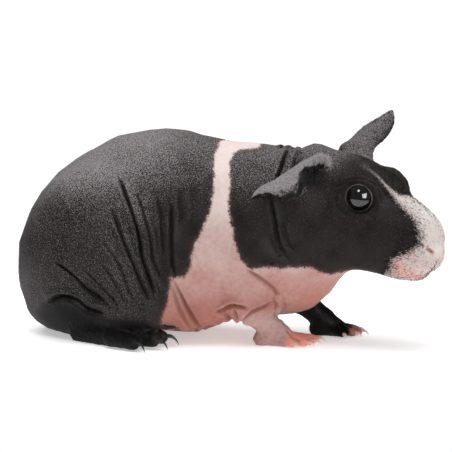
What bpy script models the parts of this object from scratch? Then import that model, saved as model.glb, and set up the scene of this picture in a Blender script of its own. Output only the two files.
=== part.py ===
"""A skinny pig (a hairless guinea pig) as a still, life-size model.

The animal crouches with its weight on its haunches, feet flat on the floor, head raised and
turned a little to its right. Its skin is one blended surface over simple round forms: that
surface is meshed finely where the face, paws and folds need it, thinned, and parted by thin
cuts into the pieces that a person would name. Ears, eyes and claws are pieces of their own.

The shapes are worked out in millimetres, x towards the nose, y towards the animal's left and
z up, with the floor at z = 0. The finished meshes are written in metres.
"""
import math

import bmesh
import bpy
import numpy as np
from mathutils import Matrix, Vector

MM = 0.001

# Driving sizes of the body, in millimetres
BACK_HEIGHT = 100.5
HAUNCH_HALF_WIDTH = 42.0
SHOULDER_HALF_WIDTH = 34.0
GAP = 0.3
FOLD_INNER = 8.0

# The head's own frame: f forward, l to the animal's left, n up, from the point between the eyes
HEAD_ORIGIN = np.array([76.0, -6.35, 73.9])
HEAD_YAW = -18.0
HEAD_PITCH = 20.0
HEAD_ROLL = 1.5

EYE_RADIUS = 7.2
EYE_PLACE = (-3.0, 12.9, -1.0)
EYE_AXIS = (0.25, 0.95, 0.03)
LID_RING = 6.45
LID_TUBE = 1.35

EAR_THICKNESS = 1.3
EAR_RIM_THICKNESS = 0.75

# Fineness of the skin before it is thinned, and triangles kept in each stretch
BODY_VOXEL = 1.5
FINE_VOXEL = 0.85
CUT_MARGIN = 2.5
BODY_TRIANGLES = 5000
HEAD_TRIANGLES = 3700
HIND_FOOT_TRIANGLES = 520
FOREPAW_TRIANGLES = 600
KEPT_NEAR_TOES = 2.0
THINNED_BEYOND_TOES = 9.0

HIND_CLAW_THICKNESS = 3.1
FORE_CLAW_THICKNESS = 2.0
HIND_CLAW_ARCH = 0.3
FORE_CLAW_ARCH = 0.2


def turned(axis, degrees):
    """A numpy turning matrix about a world axis."""
    return np.array(Matrix.Rotation(math.radians(degrees), 3, axis))


# Columns are the head's forward, left and up directions
HEAD_FRAME = turned("Z", HEAD_YAW) @ turned("Y", HEAD_PITCH) @ turned("X", HEAD_ROLL)
BODY_FRAME = np.identity(3)


def head_point(place):
    """A place in the head's frame, in the body's frame."""
    return HEAD_ORIGIN + HEAD_FRAME @ np.asarray(place, dtype=float)


def unit(vector):
    """The vector at length 1."""
    vector = np.asarray(vector, dtype=float)
    return vector / np.linalg.norm(vector)


class Ball:
    """An ellipsoid, turned with its frame; blend is how softly it joins what came before."""

    def __init__(self, centre, radii, blend=6.0, frame=BODY_FRAME):
        self.centre = np.asarray(centre, dtype=float)
        self.radii = np.asarray(radii, dtype=float)
        self.blend = blend
        self.frame = frame

    def distance(self, points):
        local = (points - self.centre) @ self.frame
        near = np.linalg.norm(local / self.radii, axis=1)
        slope = np.linalg.norm(local / self.radii ** 2, axis=1)
        return near * (near - 1.0) / np.maximum(slope, 1e-9)

    def join(self, total, points):
        return smooth_least(total, self.distance(points), self.blend)

    def add_rough(self, bm):
        spot = np.identity(4)
        spot[:3, :3] = self.frame @ np.diag(self.radii)
        spot[:3, 3] = self.centre
        bmesh.ops.create_icosphere(bm, subdivisions=4, radius=1.0, matrix=Matrix(spot.tolist()))


class Limb:
    """A tapered, round-ended length of limb from one joint to the next."""

    def __init__(self, start, end, start_radius, end_radius, blend=4.0):
        self.start = np.asarray(start, dtype=float)
        self.end = np.asarray(end, dtype=float)
        self.start_radius = start_radius
        self.end_radius = end_radius
        self.blend = blend

    def distance(self, points):
        along = self.end - self.start
        share = np.clip((points - self.start) @ along / (along @ along), 0.0, 1.0)
        radius = self.start_radius + (self.end_radius - self.start_radius) * share
        return np.linalg.norm(points - self.start - share[:, None] * along, axis=1) - radius

    def join(self, total, points):
        return smooth_least(total, self.distance(points), self.blend)

    def add_rough(self, bm):
        add_hull(bm, [(self.start, self.start_radius), (self.end, self.end_radius)])


class Ring:
    """A torus, such as the rolled edge of the eyelids; it adds no rough body of its own."""

    def __init__(self, centre, axis, ring_radius, tube_radius, blend=1.5):
        self.centre = np.asarray(centre, dtype=float)
        self.axis = unit(axis)
        self.ring_radius = ring_radius
        self.tube_radius = tube_radius
        self.blend = blend

    def distance(self, points):
        local = points - self.centre
        height = local @ self.axis
        out = np.linalg.norm(local - height[:, None] * self.axis, axis=1)
        return np.hypot(out - self.ring_radius, height) - self.tube_radius

    def join(self, total, points):
        return smooth_least(total, self.distance(points), self.blend)

    def add_rough(self, bm):
        return None


class Seat:
    """Rounds what came before where it settles on the floor; it adds no rough body."""

    def __init__(self, blend):
        self.blend = blend

    def join(self, total, points):
        return -smooth_least(-total, points[:, 2], self.blend)

    def add_rough(self, bm):
        return None


class Crease:
    """A furrow along a line, fading out at its ends.

    A fold of the flanks is a line of (x, z) places, pressed into both sides from beside. A
    line on the face is given in the head's frame, and keeps its depth to its ends.
    """

    def __init__(self, line, depth, width, on_head=False):
        if on_head:
            self.line = np.array([head_point(place) for place in line])
        else:
            self.line = np.asarray(line, dtype=float)
        self.depth = depth
        self.width = width
        self.on_head = on_head

    def nearness(self, points):
        """From 0 far away to 1 on the line."""
        places = points if self.on_head else points[:, (0, 2)]
        nearest = np.full(len(points), 1e9)
        spot = np.zeros(len(points))
        travelled = 0.0
        for start, end in zip(self.line[:-1], self.line[1:]):
            along = end - start
            length = np.linalg.norm(along)
            share = np.clip((places - start) @ along / length ** 2, 0.0, 1.0)
            gap = np.linalg.norm(places - start - share[:, None] * along, axis=1)
            spot = np.where(gap < nearest, travelled + share * length, spot)
            nearest = np.minimum(nearest, gap)
            travelled += length
        amount = np.exp(-(nearest / self.width) ** 2)
        if self.on_head:
            return amount
        fade = np.sin(np.pi * np.clip(spot / travelled, 0.0, 1.0)) ** 0.6
        beside = np.clip((np.abs(points[:, 1]) - FOLD_INNER) / FOLD_INNER, 0.0, 1.0)
        return amount * fade * beside

    def sink(self, points):
        return self.depth * self.nearness(points)


def sphere_points(subdivisions=3):
    """Evenly spread points on a sphere of radius 1."""
    bm = bmesh.new()
    bmesh.ops.create_icosphere(bm, subdivisions=subdivisions, radius=1.0)
    points = np.array([vert.co[:] for vert in bm.verts])
    bm.free()
    return points


SPHERE = sphere_points()
COARSE_SPHERE = sphere_points(2)


def add_hull(bm, ends, sphere=SPHERE):
    """Adds the convex hull of a few spheres, each a centre and a radius."""
    fresh = []
    for centre, radius in ends:
        for place in np.asarray(centre, dtype=float) + sphere * radius:
            fresh.append(bm.verts.new(place.tolist()))
    result = bmesh.ops.convex_hull(bm, input=fresh)
    inside = [item for item in result["geom_interior"] if isinstance(item, bmesh.types.BMVert)]
    bmesh.ops.delete(bm, geom=inside, context="VERTS")


# The forms of the animal

def torso_forms():
    """Rump, back, shoulders, chest, the haunches' bulges and the sagging belly."""
    forms = [
        Ball((-61.5, 0.0, 33.0), (43.0, 35.0, 49.5)),
        Ball((-30.0, 0.0, 52.0), (60.0, 40.0, BACK_HEIGHT - 52.0), 10.0),
        Ball((18.0, 0.0, 53.5), (36.0, SHOULDER_HALF_WIDTH, 41.5), 12.0),
        Ball((34.0, 0.0, 38.0), (20.5, 21.0, 23.0), 8.0),
    ]
    for side in (-1.0, 1.0):
        forms.append(Ball((-64.0, side * 19.0, 46.0), (31.0, HAUNCH_HALF_WIDTH - 19.0, 35.0), 8.0))
        forms.append(Ball((-62.0, side * 27.0, 66.0), (19.0, 12.0, 16.0), 10.0))
        forms.append(Ball((-20.0, side * 14.0, 19.5), (26.0, 16.0, 16.5), 6.0))
    forms.append(Seat(13.0))
    return forms


def neck_forms():
    """The thick neck, and the fold of loose skin behind the ears."""
    return [
        Ball((41.0, -1.0, 61.0), (26.0, 26.0, 30.5), 8.0),
        Limb((48.0, -2.0, 57.0), (66.0, -5.0, 60.0), 22.5, 19.0, 8.0),
        Ball((43.5, -1.0, 86.0), (8.5, 15.0, 9.5), 4.0),
    ]


def head_forms():
    """Cranium, face, muzzle, jaw, brows and the mounds that carry the eyes."""
    forms = [
        Ball(head_point((-16.0, 0.0, -8.0)), (26.0, 18.5, 20.0), 6.0, HEAD_FRAME),
        Ball(head_point((10.5, 0.0, -15.5)), (28.0, 13.5, 19.5), 6.0, HEAD_FRAME),
        Limb(head_point((-4.0, 0.0, -4.0)), head_point((27.0, 0.0, -7.0)), 11.0, 8.5, 5.0),
        Limb(head_point((20.0, 0.0, -25.5)), head_point((-3.0, 0.0, -24.5)), 8.5, 15.0, 5.0),
        Ball(head_point((31.5, 0.0, -10.5)), (7.4, 7.0, 8.5), 3.0, HEAD_FRAME),
        Ball(head_point((27.5, 0.0, -26.3)), (8.6, 7.5, 5.8), 3.0, HEAD_FRAME),
    ]
    for side in (-1.0, 1.0):
        forms.append(Ball(head_point((-4.0, side * 8.5, -20.5)), (24.0, 12.5, 15.0), 6.0, HEAD_FRAME))
        forms.append(Ball(head_point((12.0, side * 4.5, -16.0)), (20.0, 10.0, 13.5), 6.0, HEAD_FRAME))
        forms.append(Ball(head_point((27.6, side * 5.0, -18.5)), (11.3, 7.6, 10.0), 4.0, HEAD_FRAME))
        forms.append(Ball(head_point((-3.6, side * 9.0, -1.0)), (13.0, 7.4, 9.5), 8.0, HEAD_FRAME))
        forms.append(Ball(head_point((-2.8, side * 12.4, 4.2)), (8.5, 4.2, 3.6), 4.0, HEAD_FRAME))
        axis = HEAD_FRAME @ eye_axis(side)
        middle = eye_centre(side) + axis * math.sqrt(EYE_RADIUS ** 2 - LID_RING ** 2)
        forms.append(Ring(middle, axis, LID_RING, LID_TUBE))
    return forms


def eye_axis(side):
    """The way an eye looks, in the head's frame."""
    forward, out, up = EYE_AXIS
    return unit((forward, side * out, up))


def eye_centre(side):
    """The middle of an eyeball."""
    forward, out, up = EYE_PLACE
    return head_point((forward, side * out, up))


# Each limb is given on the animal's right side (y < 0); the left hind leg is its mirror image
HIND_HEEL = (-67.0, -25.0, 4.0)
HIND_SOLE = (-45.0, -36.0, 5.0)
HIND_TOES = (
    ((-47.0, -40.5, 5.0), (-34.5, -47.0, 4.0)),
    ((-43.0, -37.0, 5.5), (-26.5, -40.5, 4.6)),
    ((-42.0, -32.5, 5.5), (-25.0, -31.0, 4.6)),
)
HIND_CLAWS = (
    ((-33.2, -47.8, 4.4), (-27.8, -51.4, 0.5)),
    ((-24.8, -41.0, 5.0), (-18.9, -42.9, 0.5)),
    ((-23.2, -30.9, 5.0), (-17.0, -29.7, 0.5)),
)
KNEE = (-38.0, -34.0, 22.0)

RIGHT_FORELEG = {
    "shoulder": (9.0, -20.0, 32.0),
    "elbow": (15.0, -20.0, 18.5),
    "wrist": (27.0, -16.0, 8.0),
    "heel": (20.5, -15.5, 3.2),
    "palm": (32.0, -15.0, 4.0),
    "toes": (
        ((31.0, -17.8, 3.4), (36.5, -20.5, 2.3)),
        ((32.5, -16.2, 3.8), (42.0, -17.0, 2.3)),
        ((33.5, -13.6, 3.8), (44.0, -11.6, 2.3)),
        ((32.5, -11.0, 3.8), (44.5, -5.2, 2.3)),
    ),
    "claws": (
        ((36.9, -20.7, 2.8), (40.0, -22.3, 0.5)),
        ((42.6, -17.1, 2.8), (46.6, -17.8, 0.5)),
        ((44.7, -11.5, 2.8), (48.8, -10.7, 0.5)),
        ((45.0, -4.9, 2.8), (48.8, -2.6, 0.5)),
    ),
}
LEFT_FORELEG = {
    "shoulder": (17.0, 16.0, 34.0),
    "elbow": (29.5, 15.0, 20.0),
    "wrist": (43.0, 17.0, 8.8),
    "heel": (40.5, 17.0, 3.2),
    "palm": (49.5, 18.0, 4.0),
    "toes": (
        ((48.5, 15.4, 3.6), (53.5, 11.8, 2.3)),
        ((50.5, 17.0, 3.8), (58.6, 15.0, 2.3)),
        ((51.0, 19.4, 3.8), (60.2, 20.0, 2.3)),
        ((50.0, 21.6, 3.6), (58.0, 25.0, 2.3)),
    ),
    "claws": (
        ((53.8, 11.5, 2.8), (56.8, 9.4, 0.5)),
        ((59.2, 14.8, 2.8), (63.2, 13.9, 0.5)),
        ((60.9, 20.1, 2.8), (65.1, 20.4, 0.5)),
        ((58.5, 25.3, 2.8), (62.2, 27.0, 0.5)),
    ),
}


def mirrored(place, side):
    """A place given on the right side, put on the side asked for."""
    x, y, z = place
    return (x, -side * y, z)


def hind_leg_forms(side):
    """The knee, held low beside the belly, and the shank behind it."""
    return [
        Ball(mirrored(KNEE, side), (17.0, 11.5, 17.0), 8.0),
        Limb(mirrored((-44.0, -31.0, 15.0), side), mirrored((-64.0, -22.5, 9.0), side), 8.0, 6.5, 5.0),
    ]


def hind_foot_forms(side):
    """Heel and sole flat on the floor, and three long toes."""
    forms = [Limb(mirrored(HIND_HEEL, side), mirrored(HIND_SOLE, side), 5.0, 6.0, 3.0)]
    for base, tip in HIND_TOES:
        forms.append(Limb(mirrored(base, side), mirrored(tip, side), 4.3, 3.4, 1.6))
    return forms


def foreleg_forms(leg):
    """Upper arm and forearm."""
    return [
        Limb(leg["shoulder"], leg["elbow"], 11.0, 7.8, 6.0),
        Limb(leg["elbow"], leg["wrist"], 7.4, 4.9, 3.0),
    ]


def forepaw_forms(leg):
    """Heel, palm and four toes."""
    forms = [
        Limb(leg["wrist"], leg["heel"], 4.4, 3.6, 2.5),
        Limb(leg["heel"], leg["palm"], 3.7, 4.4, 2.0),
        Limb(leg["wrist"], leg["palm"], 4.4, 4.0, 2.5),
    ]
    for base, tip in leg["toes"]:
        forms.append(Limb(base, tip, 2.8, 2.0, 0.8))
    return forms


def folds():
    """The skin's main folds, each a line of (x, z) places, a depth and a width."""
    flank = [
        ([(-47.0, 80.0), (-39.7, 70.5), (-35.3, 57.7), (-30.9, 43.0), (-26.4, 33.8), (-18.0, 22.0)], 2.4, 3.2),
        ([(-54.0, 74.0), (-46.5, 58.0), (-41.5, 46.5), (-36.5, 36.0), (-29.0, 24.0)], 1.7, 2.8),
        ([(-26.4, 72.0), (-25.0, 59.0), (-22.8, 46.8), (-16.4, 33.5)], 1.1, 2.8),
        ([(-77.0, 39.5), (-66.7, 33.0), (-58.6, 25.9), (-50.7, 20.1), (-42.4, 14.0)], 3.0, 2.8),
        ([(-21.3, 31.8), (-14.1, 21.2), (-7.9, 12.8), (-2.5, 6.7)], 1.2, 2.4),
    ]
    shoulder = [
        ([(28.6, 74.0), (29.7, 59.6), (31.7, 51.5), (36.5, 40.3)], 1.8, 2.8),
        ([(35.0, 70.3), (37.0, 58.5), (41.0, 48.7)], 1.2, 2.4),
        ([(31.4, 95.7), (29.6, 88.0), (28.0, 79.0)], 1.6, 2.4),
        ([(12.0, 41.5), (22.0, 34.5), (29.7, 26.0), (30.7, 14.0)], 1.8, 2.6),
    ]
    return [Crease(line, depth, width) for line, depth, width in flank + shoulder]


def face_lines():
    """Mouth, cleft of the lip, nostrils and the corner of each eye, in the head's frame."""
    cleft = [(40.0, 0.0, -14.5), (39.5, 0.0, -20.0), (37.5, 0.0, -26.0)]
    lines = [Crease(cleft, 0.8, 1.1, on_head=True)]
    for side in (-1.0, 1.0):
        mouth = [(38.5, 0.0, -25.5), (36.5, side * 4.5, -26.5), (31.5, side * 9.5, -27.6),
                 (24.5, side * 12.0, -27.6)]
        nostril = [(38.6, side * 4.0, -13.5), (37.4, side * 6.2, -12.3), (36.2, side * 8.0, -11.2)]
        lines.append(Crease(mouth, 1.4, 1.3, on_head=True))
        lines.append(Crease(nostril, 1.0, 0.8, on_head=True))
    return lines


def smooth_least(first, second, blend):
    """The smaller of two distances, rounded where they are within the blend of each other."""
    close = np.maximum(blend - np.abs(first - second), 0.0) / blend
    return np.minimum(first, second) - close * close * blend * 0.25


class Skin:
    """The animal's whole surface: where its distance is zero."""

    def __init__(self, forms, creases):
        self.forms = forms
        self.creases = creases

    def distance(self, points):
        total = self.forms[0].distance(points)
        for form in self.forms[1:]:
            total = form.join(total, points)
        for crease in self.creases:
            total = total + crease.sink(points)
        return total

    def slope(self, points, value, step=0.05):
        columns = []
        for axis in np.identity(3):
            columns.append((self.distance(points + axis * step) - value) / step)
        return np.stack(columns, axis=1)

    def settle(self, points, edges, deepest, rounds=5, farthest=3.0):
        """Draws points on to the surface, spreading them along it as they go.

        Points that start deeper than the depth given lie on a cut face, and stay there.
        """
        free = (self.distance(points) > -deepest)[:, None]
        for count in range(rounds):
            if count < rounds - 2:
                points = points + 0.5 * free * (neighbour_mean(points, edges) - points)
            value = self.distance(points)
            slope = self.slope(points, value)
            steep = np.maximum((slope ** 2).sum(axis=1), 0.1)
            step = slope * (value / steep)[:, None]
            length = np.maximum(np.linalg.norm(step, axis=1), 1e-9)
            points = points - free * step * np.minimum(1.0, farthest / length)[:, None]
        return points


def neighbour_mean(points, edges):
    """The mean of each point's neighbours."""
    total = np.zeros_like(points)
    count = np.zeros(len(points))
    for start, end in ((edges[:, 0], edges[:, 1]), (edges[:, 1], edges[:, 0])):
        for axis in range(3):
            total[:, axis] += np.bincount(start, weights=points[end, axis], minlength=len(points))
        count += np.bincount(start, minlength=len(points))
    return total / np.maximum(count, 1.0)[:, None]


# Mesh work

def link(name, mesh):
    """Adds a mesh to the scene as an object."""
    obj = bpy.data.objects.new(name, mesh)
    bpy.context.scene.collection.objects.link(obj)
    return obj


def evaluated(obj):
    """The object's mesh with its modifiers applied; the object is removed."""
    bpy.context.view_layer.update()
    graph = bpy.context.evaluated_depsgraph_get()
    mesh = bpy.data.meshes.new_from_object(obj.evaluated_get(graph))
    bpy.data.objects.remove(obj)
    return mesh


def vertex_array(mesh):
    """The mesh's vertices as rows."""
    flat = np.empty(len(mesh.vertices) * 3)
    mesh.vertices.foreach_get("co", flat)
    return flat.reshape(-1, 3)


def edge_array(mesh):
    """The mesh's edges as pairs of vertex numbers."""
    flat = np.empty(len(mesh.edges) * 2, dtype=np.int64)
    mesh.edges.foreach_get("vertices", flat)
    return flat.reshape(-1, 2)


def mesh_from(bm, name):
    """Turns a bmesh into a mesh."""
    mesh = bpy.data.meshes.new(name)
    bm.to_mesh(mesh)
    bm.free()
    return mesh


def rough_union(forms):
    """The forms' own bodies in one mesh, still passing through each other."""
    bm = bmesh.new()
    for form in forms:
        form.add_rough(bm)
    return mesh_from(bm, "rough")


def refined(skin, mesh, voxel, deepest):
    """Meshes a body evenly and draws the mesh on to the skin, but for deep cut faces."""
    obj = link("refined", mesh)
    remesh = obj.modifiers.new("Remesh", "REMESH")
    remesh.mode = "VOXEL"
    remesh.voxel_size = voxel
    remesh.adaptivity = 0.0
    mesh = evaluated(obj)
    points = skin.settle(vertex_array(mesh), edge_array(mesh), deepest)
    mesh.vertices.foreach_set("co", points.ravel())
    mesh.update()
    return largest_body(mesh)


def thinned(mesh, triangles, plainness=None):
    """Reduces a mesh to about the triangles asked for, most where plainness is 1."""
    obj = link("thinning", mesh)
    faces = obj.modifiers.new("Triangulate", "TRIANGULATE")
    faces.quad_method = "SHORTEST_DIAGONAL"
    now = sum(len(polygon.vertices) - 2 for polygon in mesh.polygons)
    thin = obj.modifiers.new("Decimate", "DECIMATE")
    thin.ratio = min(1.0, triangles / now)
    if plainness is not None:
        group = obj.vertex_groups.new(name="plain")
        for index, weight in enumerate(plainness(vertex_array(mesh))):
            group.add([index], float(weight), "REPLACE")
        thin.vertex_group = "plain"
        thin.vertex_group_factor = 1.0
    return evaluated(obj)


def largest_body(mesh):
    """Keeps the largest closed surface, in clean triangles that face out."""
    bm = bmesh.new()
    bm.from_mesh(mesh)
    bmesh.ops.triangulate(bm, faces=bm.faces[:])
    bmesh.ops.remove_doubles(bm, verts=bm.verts[:], dist=0.002)
    left = set(bm.verts)
    bodies = []
    while left:
        start = left.pop()
        body = {start}
        front = [start]
        while front:
            vert = front.pop()
            for edge in vert.link_edges:
                other = edge.other_vert(vert)
                if other not in body:
                    body.add(other)
                    front.append(other)
        left -= body
        bodies.append(body)
    bodies.sort(key=len, reverse=True)
    loose = [vert for body in bodies[1:] for vert in body]
    bmesh.ops.delete(bm, geom=loose, context="VERTS")
    bmesh.ops.recalc_face_normals(bm, faces=bm.faces[:])
    if bm.calc_volume(signed=True) < 0.0:
        bmesh.ops.reverse_faces(bm, faces=bm.faces[:])
    bm.to_mesh(mesh)
    bm.free()
    return mesh


def combined(mesh, tool, operation):
    """A Boolean of two closed meshes; the tool is kept for its next use."""
    obj = link("worked", mesh.copy())
    cutter = link("cutter", tool)
    cutter.hide_render = True
    cutter.display_type = "WIRE"
    cut = obj.modifiers.new("Boolean", "BOOLEAN")
    cut.operation = operation
    cut.solver = "EXACT"
    cut.object = cutter
    result = evaluated(obj)
    bpy.data.objects.remove(cutter)
    return largest_body(result)


def grown(mesh, amount):
    """A copy whose surface lies further out along its own normals."""
    copy = mesh.copy()
    normals = np.empty(len(copy.vertices) * 3)
    copy.vertices.foreach_get("normal", normals)
    points = vertex_array(copy) + normals.reshape(-1, 3) * amount
    copy.vertices.foreach_set("co", points.ravel())
    copy.update()
    return copy


def hull_mesh(ends):
    """A closed mesh round a few spheres."""
    bm = bmesh.new()
    add_hull(bm, ends, COARSE_SPHERE)
    bmesh.ops.recalc_face_normals(bm, faces=bm.faces[:])
    return mesh_from(bm, "hull")


def half_space(point, normal, reach=260.0):
    """A large block whose face passes through the point, with the normal pointing out of it."""
    bm = bmesh.new()
    out = Vector(unit(normal).tolist())
    turn = out.to_track_quat("Z", "Y").to_matrix().to_4x4()
    place = Vector([float(value) for value in point]) - out * reach / 2.0
    bmesh.ops.create_cube(bm, size=reach, matrix=Matrix.Translation(place) @ turn)
    return mesh_from(bm, "block")


def stretch(skin, body, block):
    """A closer mesh of the skin inside a block, with a margin round it to be cut off."""
    rough = combined(body, grown(block, CUT_MARGIN), "INTERSECT")
    return refined(skin, rough, FINE_VOXEL, CUT_MARGIN * 0.5)


def kept_behind(mesh, point, normal, inset=0.0):
    """The part of a mesh on the back of a plane, moved back by the inset."""
    return combined(mesh, half_space(np.asarray(point) - unit(normal) * inset, normal), "INTERSECT")


# Planes that part head, neck and torso, and the round cutters that part the limbs
HEAD_PLANE_POINT = (52.0, -5.0, 67.0)
HEAD_PLANE_NORMAL = unit((-1.0, 0.25, -0.28))
FLOOR_POINT = (0.0, 0.0, 0.0)
FLOOR_NORMAL = (0.0, 0.0, -1.0)
NECK_PLANE_POINT = (38.0, 0.0, 60.0)
NECK_PLANE_NORMAL = unit((0.95, -0.05, 0.25))


def foot_cutter(side):
    """A rounded block round the foot."""
    heel = mirrored((-68.0, -22.0, 1.0), side)
    inner = mirrored((-38.0, -27.0, 1.0), side)
    outer = mirrored((-49.0, -44.0, 1.0), side)
    inner_toe = mirrored((-22.0, -30.0, 1.0), side)
    outer_toe = mirrored((-32.0, -50.0, 1.0), side)
    return hull_mesh([(heel, 9.0), (inner, 9.0), (outer, 8.0), (inner_toe, 9.0), (outer_toe, 8.0)])


def leg_cutter(side):
    """An egg round the haunch and the knee."""
    return hull_mesh([
        (mirrored((-66.0, -36.0, 44.0), side), 25.0),
        (mirrored((-50.0, -38.0, 38.0), side), 22.0),
        (mirrored((-38.0, -38.0, 22.0), side), 18.0),
        (mirrored((-68.0, -32.0, 14.0), side), 16.0),
    ])


def foreleg_cutter(leg):
    """A tapered block round the upper arm and forearm."""
    shoulder = np.asarray(leg["shoulder"])
    out = math.copysign(4.0, shoulder[1])
    return hull_mesh([(shoulder + (0.0, out, -2.0), 13.0), (leg["elbow"], 12.5), (leg["wrist"], 9.0),
                      (leg["heel"], 8.0)])


def paw_cutter(leg):
    """A block round heel, palm and toes."""
    heel = np.asarray(leg["heel"])
    ends = [(heel + (-1.0, 0.0, -2.0), 6.2), (np.asarray(leg["palm"]) + (0.0, 0.0, -1.5), 8.5)]
    for _, tip in leg["toes"]:
        ends.append((np.asarray(tip) + (2.0, 0.0, 0.0), 6.0))
    return hull_mesh(ends)


def curve_through(points, share):
    """A place on a smooth curve through evenly spaced points, for a share from 0 to 1."""
    points = np.asarray(points, dtype=float)
    last = len(points) - 1
    spot = min(max(share, 0.0), 1.0) * last
    index = min(int(spot), last - 1)
    part = spot - index
    before = points[max(index - 1, 0)]
    after = points[min(index + 2, last)]
    start, end = points[index], points[index + 1]
    start_slope = (end - before) / 2.0
    end_slope = (after - start) / 2.0
    square, cube = part ** 2, part ** 3
    return ((2 * cube - 3 * square + 1) * start + (cube - 2 * square + part) * start_slope
            + (3 * square - 2 * cube) * end + (cube - square) * end_slope)


# Guide curves of each ear, from its root inside the head to its tip. The sheet arches over the
# ridge, and each lift bows the stretch from the ridge to that rim outwards.
RIGHT_EAR = {
    "ridge": [(50.0, -6.0, 91.1), (46.4, -15.5, 91.9), (41.3, -21.0, 89.6), (35.1, -26.5, 85.3),
              (28.5, -31.0, 81.0), (22.2, -33.5, 77.6), (19.7, -34.5, 72.8)],
    "front": [(54.0, -10.0, 86.9), (46.5, -22.0, 86.7), (41.7, -26.5, 85.3), (41.6, -32.0, 79.0),
              (35.9, -35.0, 73.0), (27.8, -36.0, 75.7), (19.9, -34.8, 72.6)],
    "back": [(50.0, -14.0, 83.0), (44.7, -20.5, 78.5), (40.4, -25.0, 75.1), (35.3, -28.5, 74.4),
             (29.5, -31.0, 74.1), (24.1, -33.0, 73.2), (19.6, -34.3, 72.5)],
    "front_lift": (0.35, -0.8, 0.5),
    "back_lift": (-0.3, 0.3, 0.4),
    "front_bow": 0.3,
    "back_bow": 0.3,
}
LEFT_EAR = {
    "ridge": [(59.3, 8.0, 88.4), (59.6, 11.0, 93.8), (62.1, 15.0, 97.2), (64.5, 19.0, 100.1),
              (66.7, 23.0, 102.3), (69.5, 27.0, 105.5), (74.1, 31.3, 109.5)],
    "front": [(71.0, 5.0, 83.5), (68.5, 13.0, 90.0), (69.2, 18.0, 92.9), (71.9, 23.0, 95.5),
              (74.4, 27.0, 99.6), (75.6, 30.0, 104.3), (74.3, 31.3, 109.3)],
    "back": [(51.4, 12.0, 86.5), (51.9, 20.0, 91.2), (54.1, 27.0, 94.4), (57.8, 32.0, 98.9),
             (62.3, 34.0, 102.2), (67.5, 33.0, 105.2), (73.9, 31.3, 109.5)],
    "front_lift": (0.7, -0.4, 0.4),
    "back_lift": (-0.5, -0.1, 0.6),
    "front_bow": 0.3,
    "back_bow": 0.08,
}
EAR_ROWS = 12
EAR_COLUMNS = 8


def ear_mesh(ear):
    """A thin cupped sheet that arches over the ridge from its back rim to its front rim."""
    def middle(row, column):
        """A place on the sheet's middle; row runs to the tip, column from back to front."""
        rim_name = "front" if column > 0 else "back"
        ridge = curve_through(ear["ridge"], row)
        span = curve_through(ear[rim_name], row) - ridge
        share = abs(column)
        bow = unit(ear[rim_name + "_lift"]) * np.linalg.norm(span) * ear[rim_name + "_bow"]
        return ridge + span * share + bow * 2.0 * share * (1.0 - share)

    rows = np.linspace(0.0, 0.985, EAR_ROWS)
    columns = np.linspace(-1.0, 1.0, EAR_COLUMNS + 1)
    grid = np.array([[middle(row, column) for column in columns] for row in rows])
    along = np.gradient(grid, axis=0)
    across = np.gradient(grid, axis=1)
    normal = np.cross(along, across)
    normal /= np.maximum(np.linalg.norm(normal, axis=2, keepdims=True), 1e-9)
    body = 1.0 - np.abs(columns) ** 3
    taper = np.clip(1.25 - rows, 0.4, 1.0)
    thick = EAR_RIM_THICKNESS + (EAR_THICKNESS - EAR_RIM_THICKNESS) * body[None, :] * taper[:, None]
    outer = grid + normal * thick[:, :, None] / 2.0
    inner = grid - normal * thick[:, :, None] / 2.0

    bm = bmesh.new()
    sheets = []
    for sheet in (outer, inner):
        sheets.append([[bm.verts.new(place.tolist()) for place in line] for line in sheet])
    for top, line_pair in enumerate(sheets):
        for row in range(EAR_ROWS - 1):
            for column in range(EAR_COLUMNS):
                corners = [line_pair[row][column], line_pair[row][column + 1],
                           line_pair[row + 1][column + 1], line_pair[row + 1][column]]
                for face in ((0, 1, 2), (0, 2, 3)):
                    bm.faces.new([corners[index] for index in (face if top else face[::-1])])
    upper, lower = sheets
    border = [(0, column) for column in range(EAR_COLUMNS)]
    border += [(row, EAR_COLUMNS) for row in range(EAR_ROWS - 1)]
    border += [(EAR_ROWS - 1, column) for column in range(EAR_COLUMNS, 0, -1)]
    border += [(row, 0) for row in range(EAR_ROWS - 1, 0, -1)]
    for (row, column), (next_row, next_column) in zip(border, border[1:] + border[:1]):
        bm.faces.new([upper[row][column], upper[next_row][next_column], lower[next_row][next_column]])
        bm.faces.new([upper[row][column], lower[next_row][next_column], lower[row][column]])
    bmesh.ops.recalc_face_normals(bm, faces=bm.faces[:])
    return mesh_from(bm, "ear")


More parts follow.
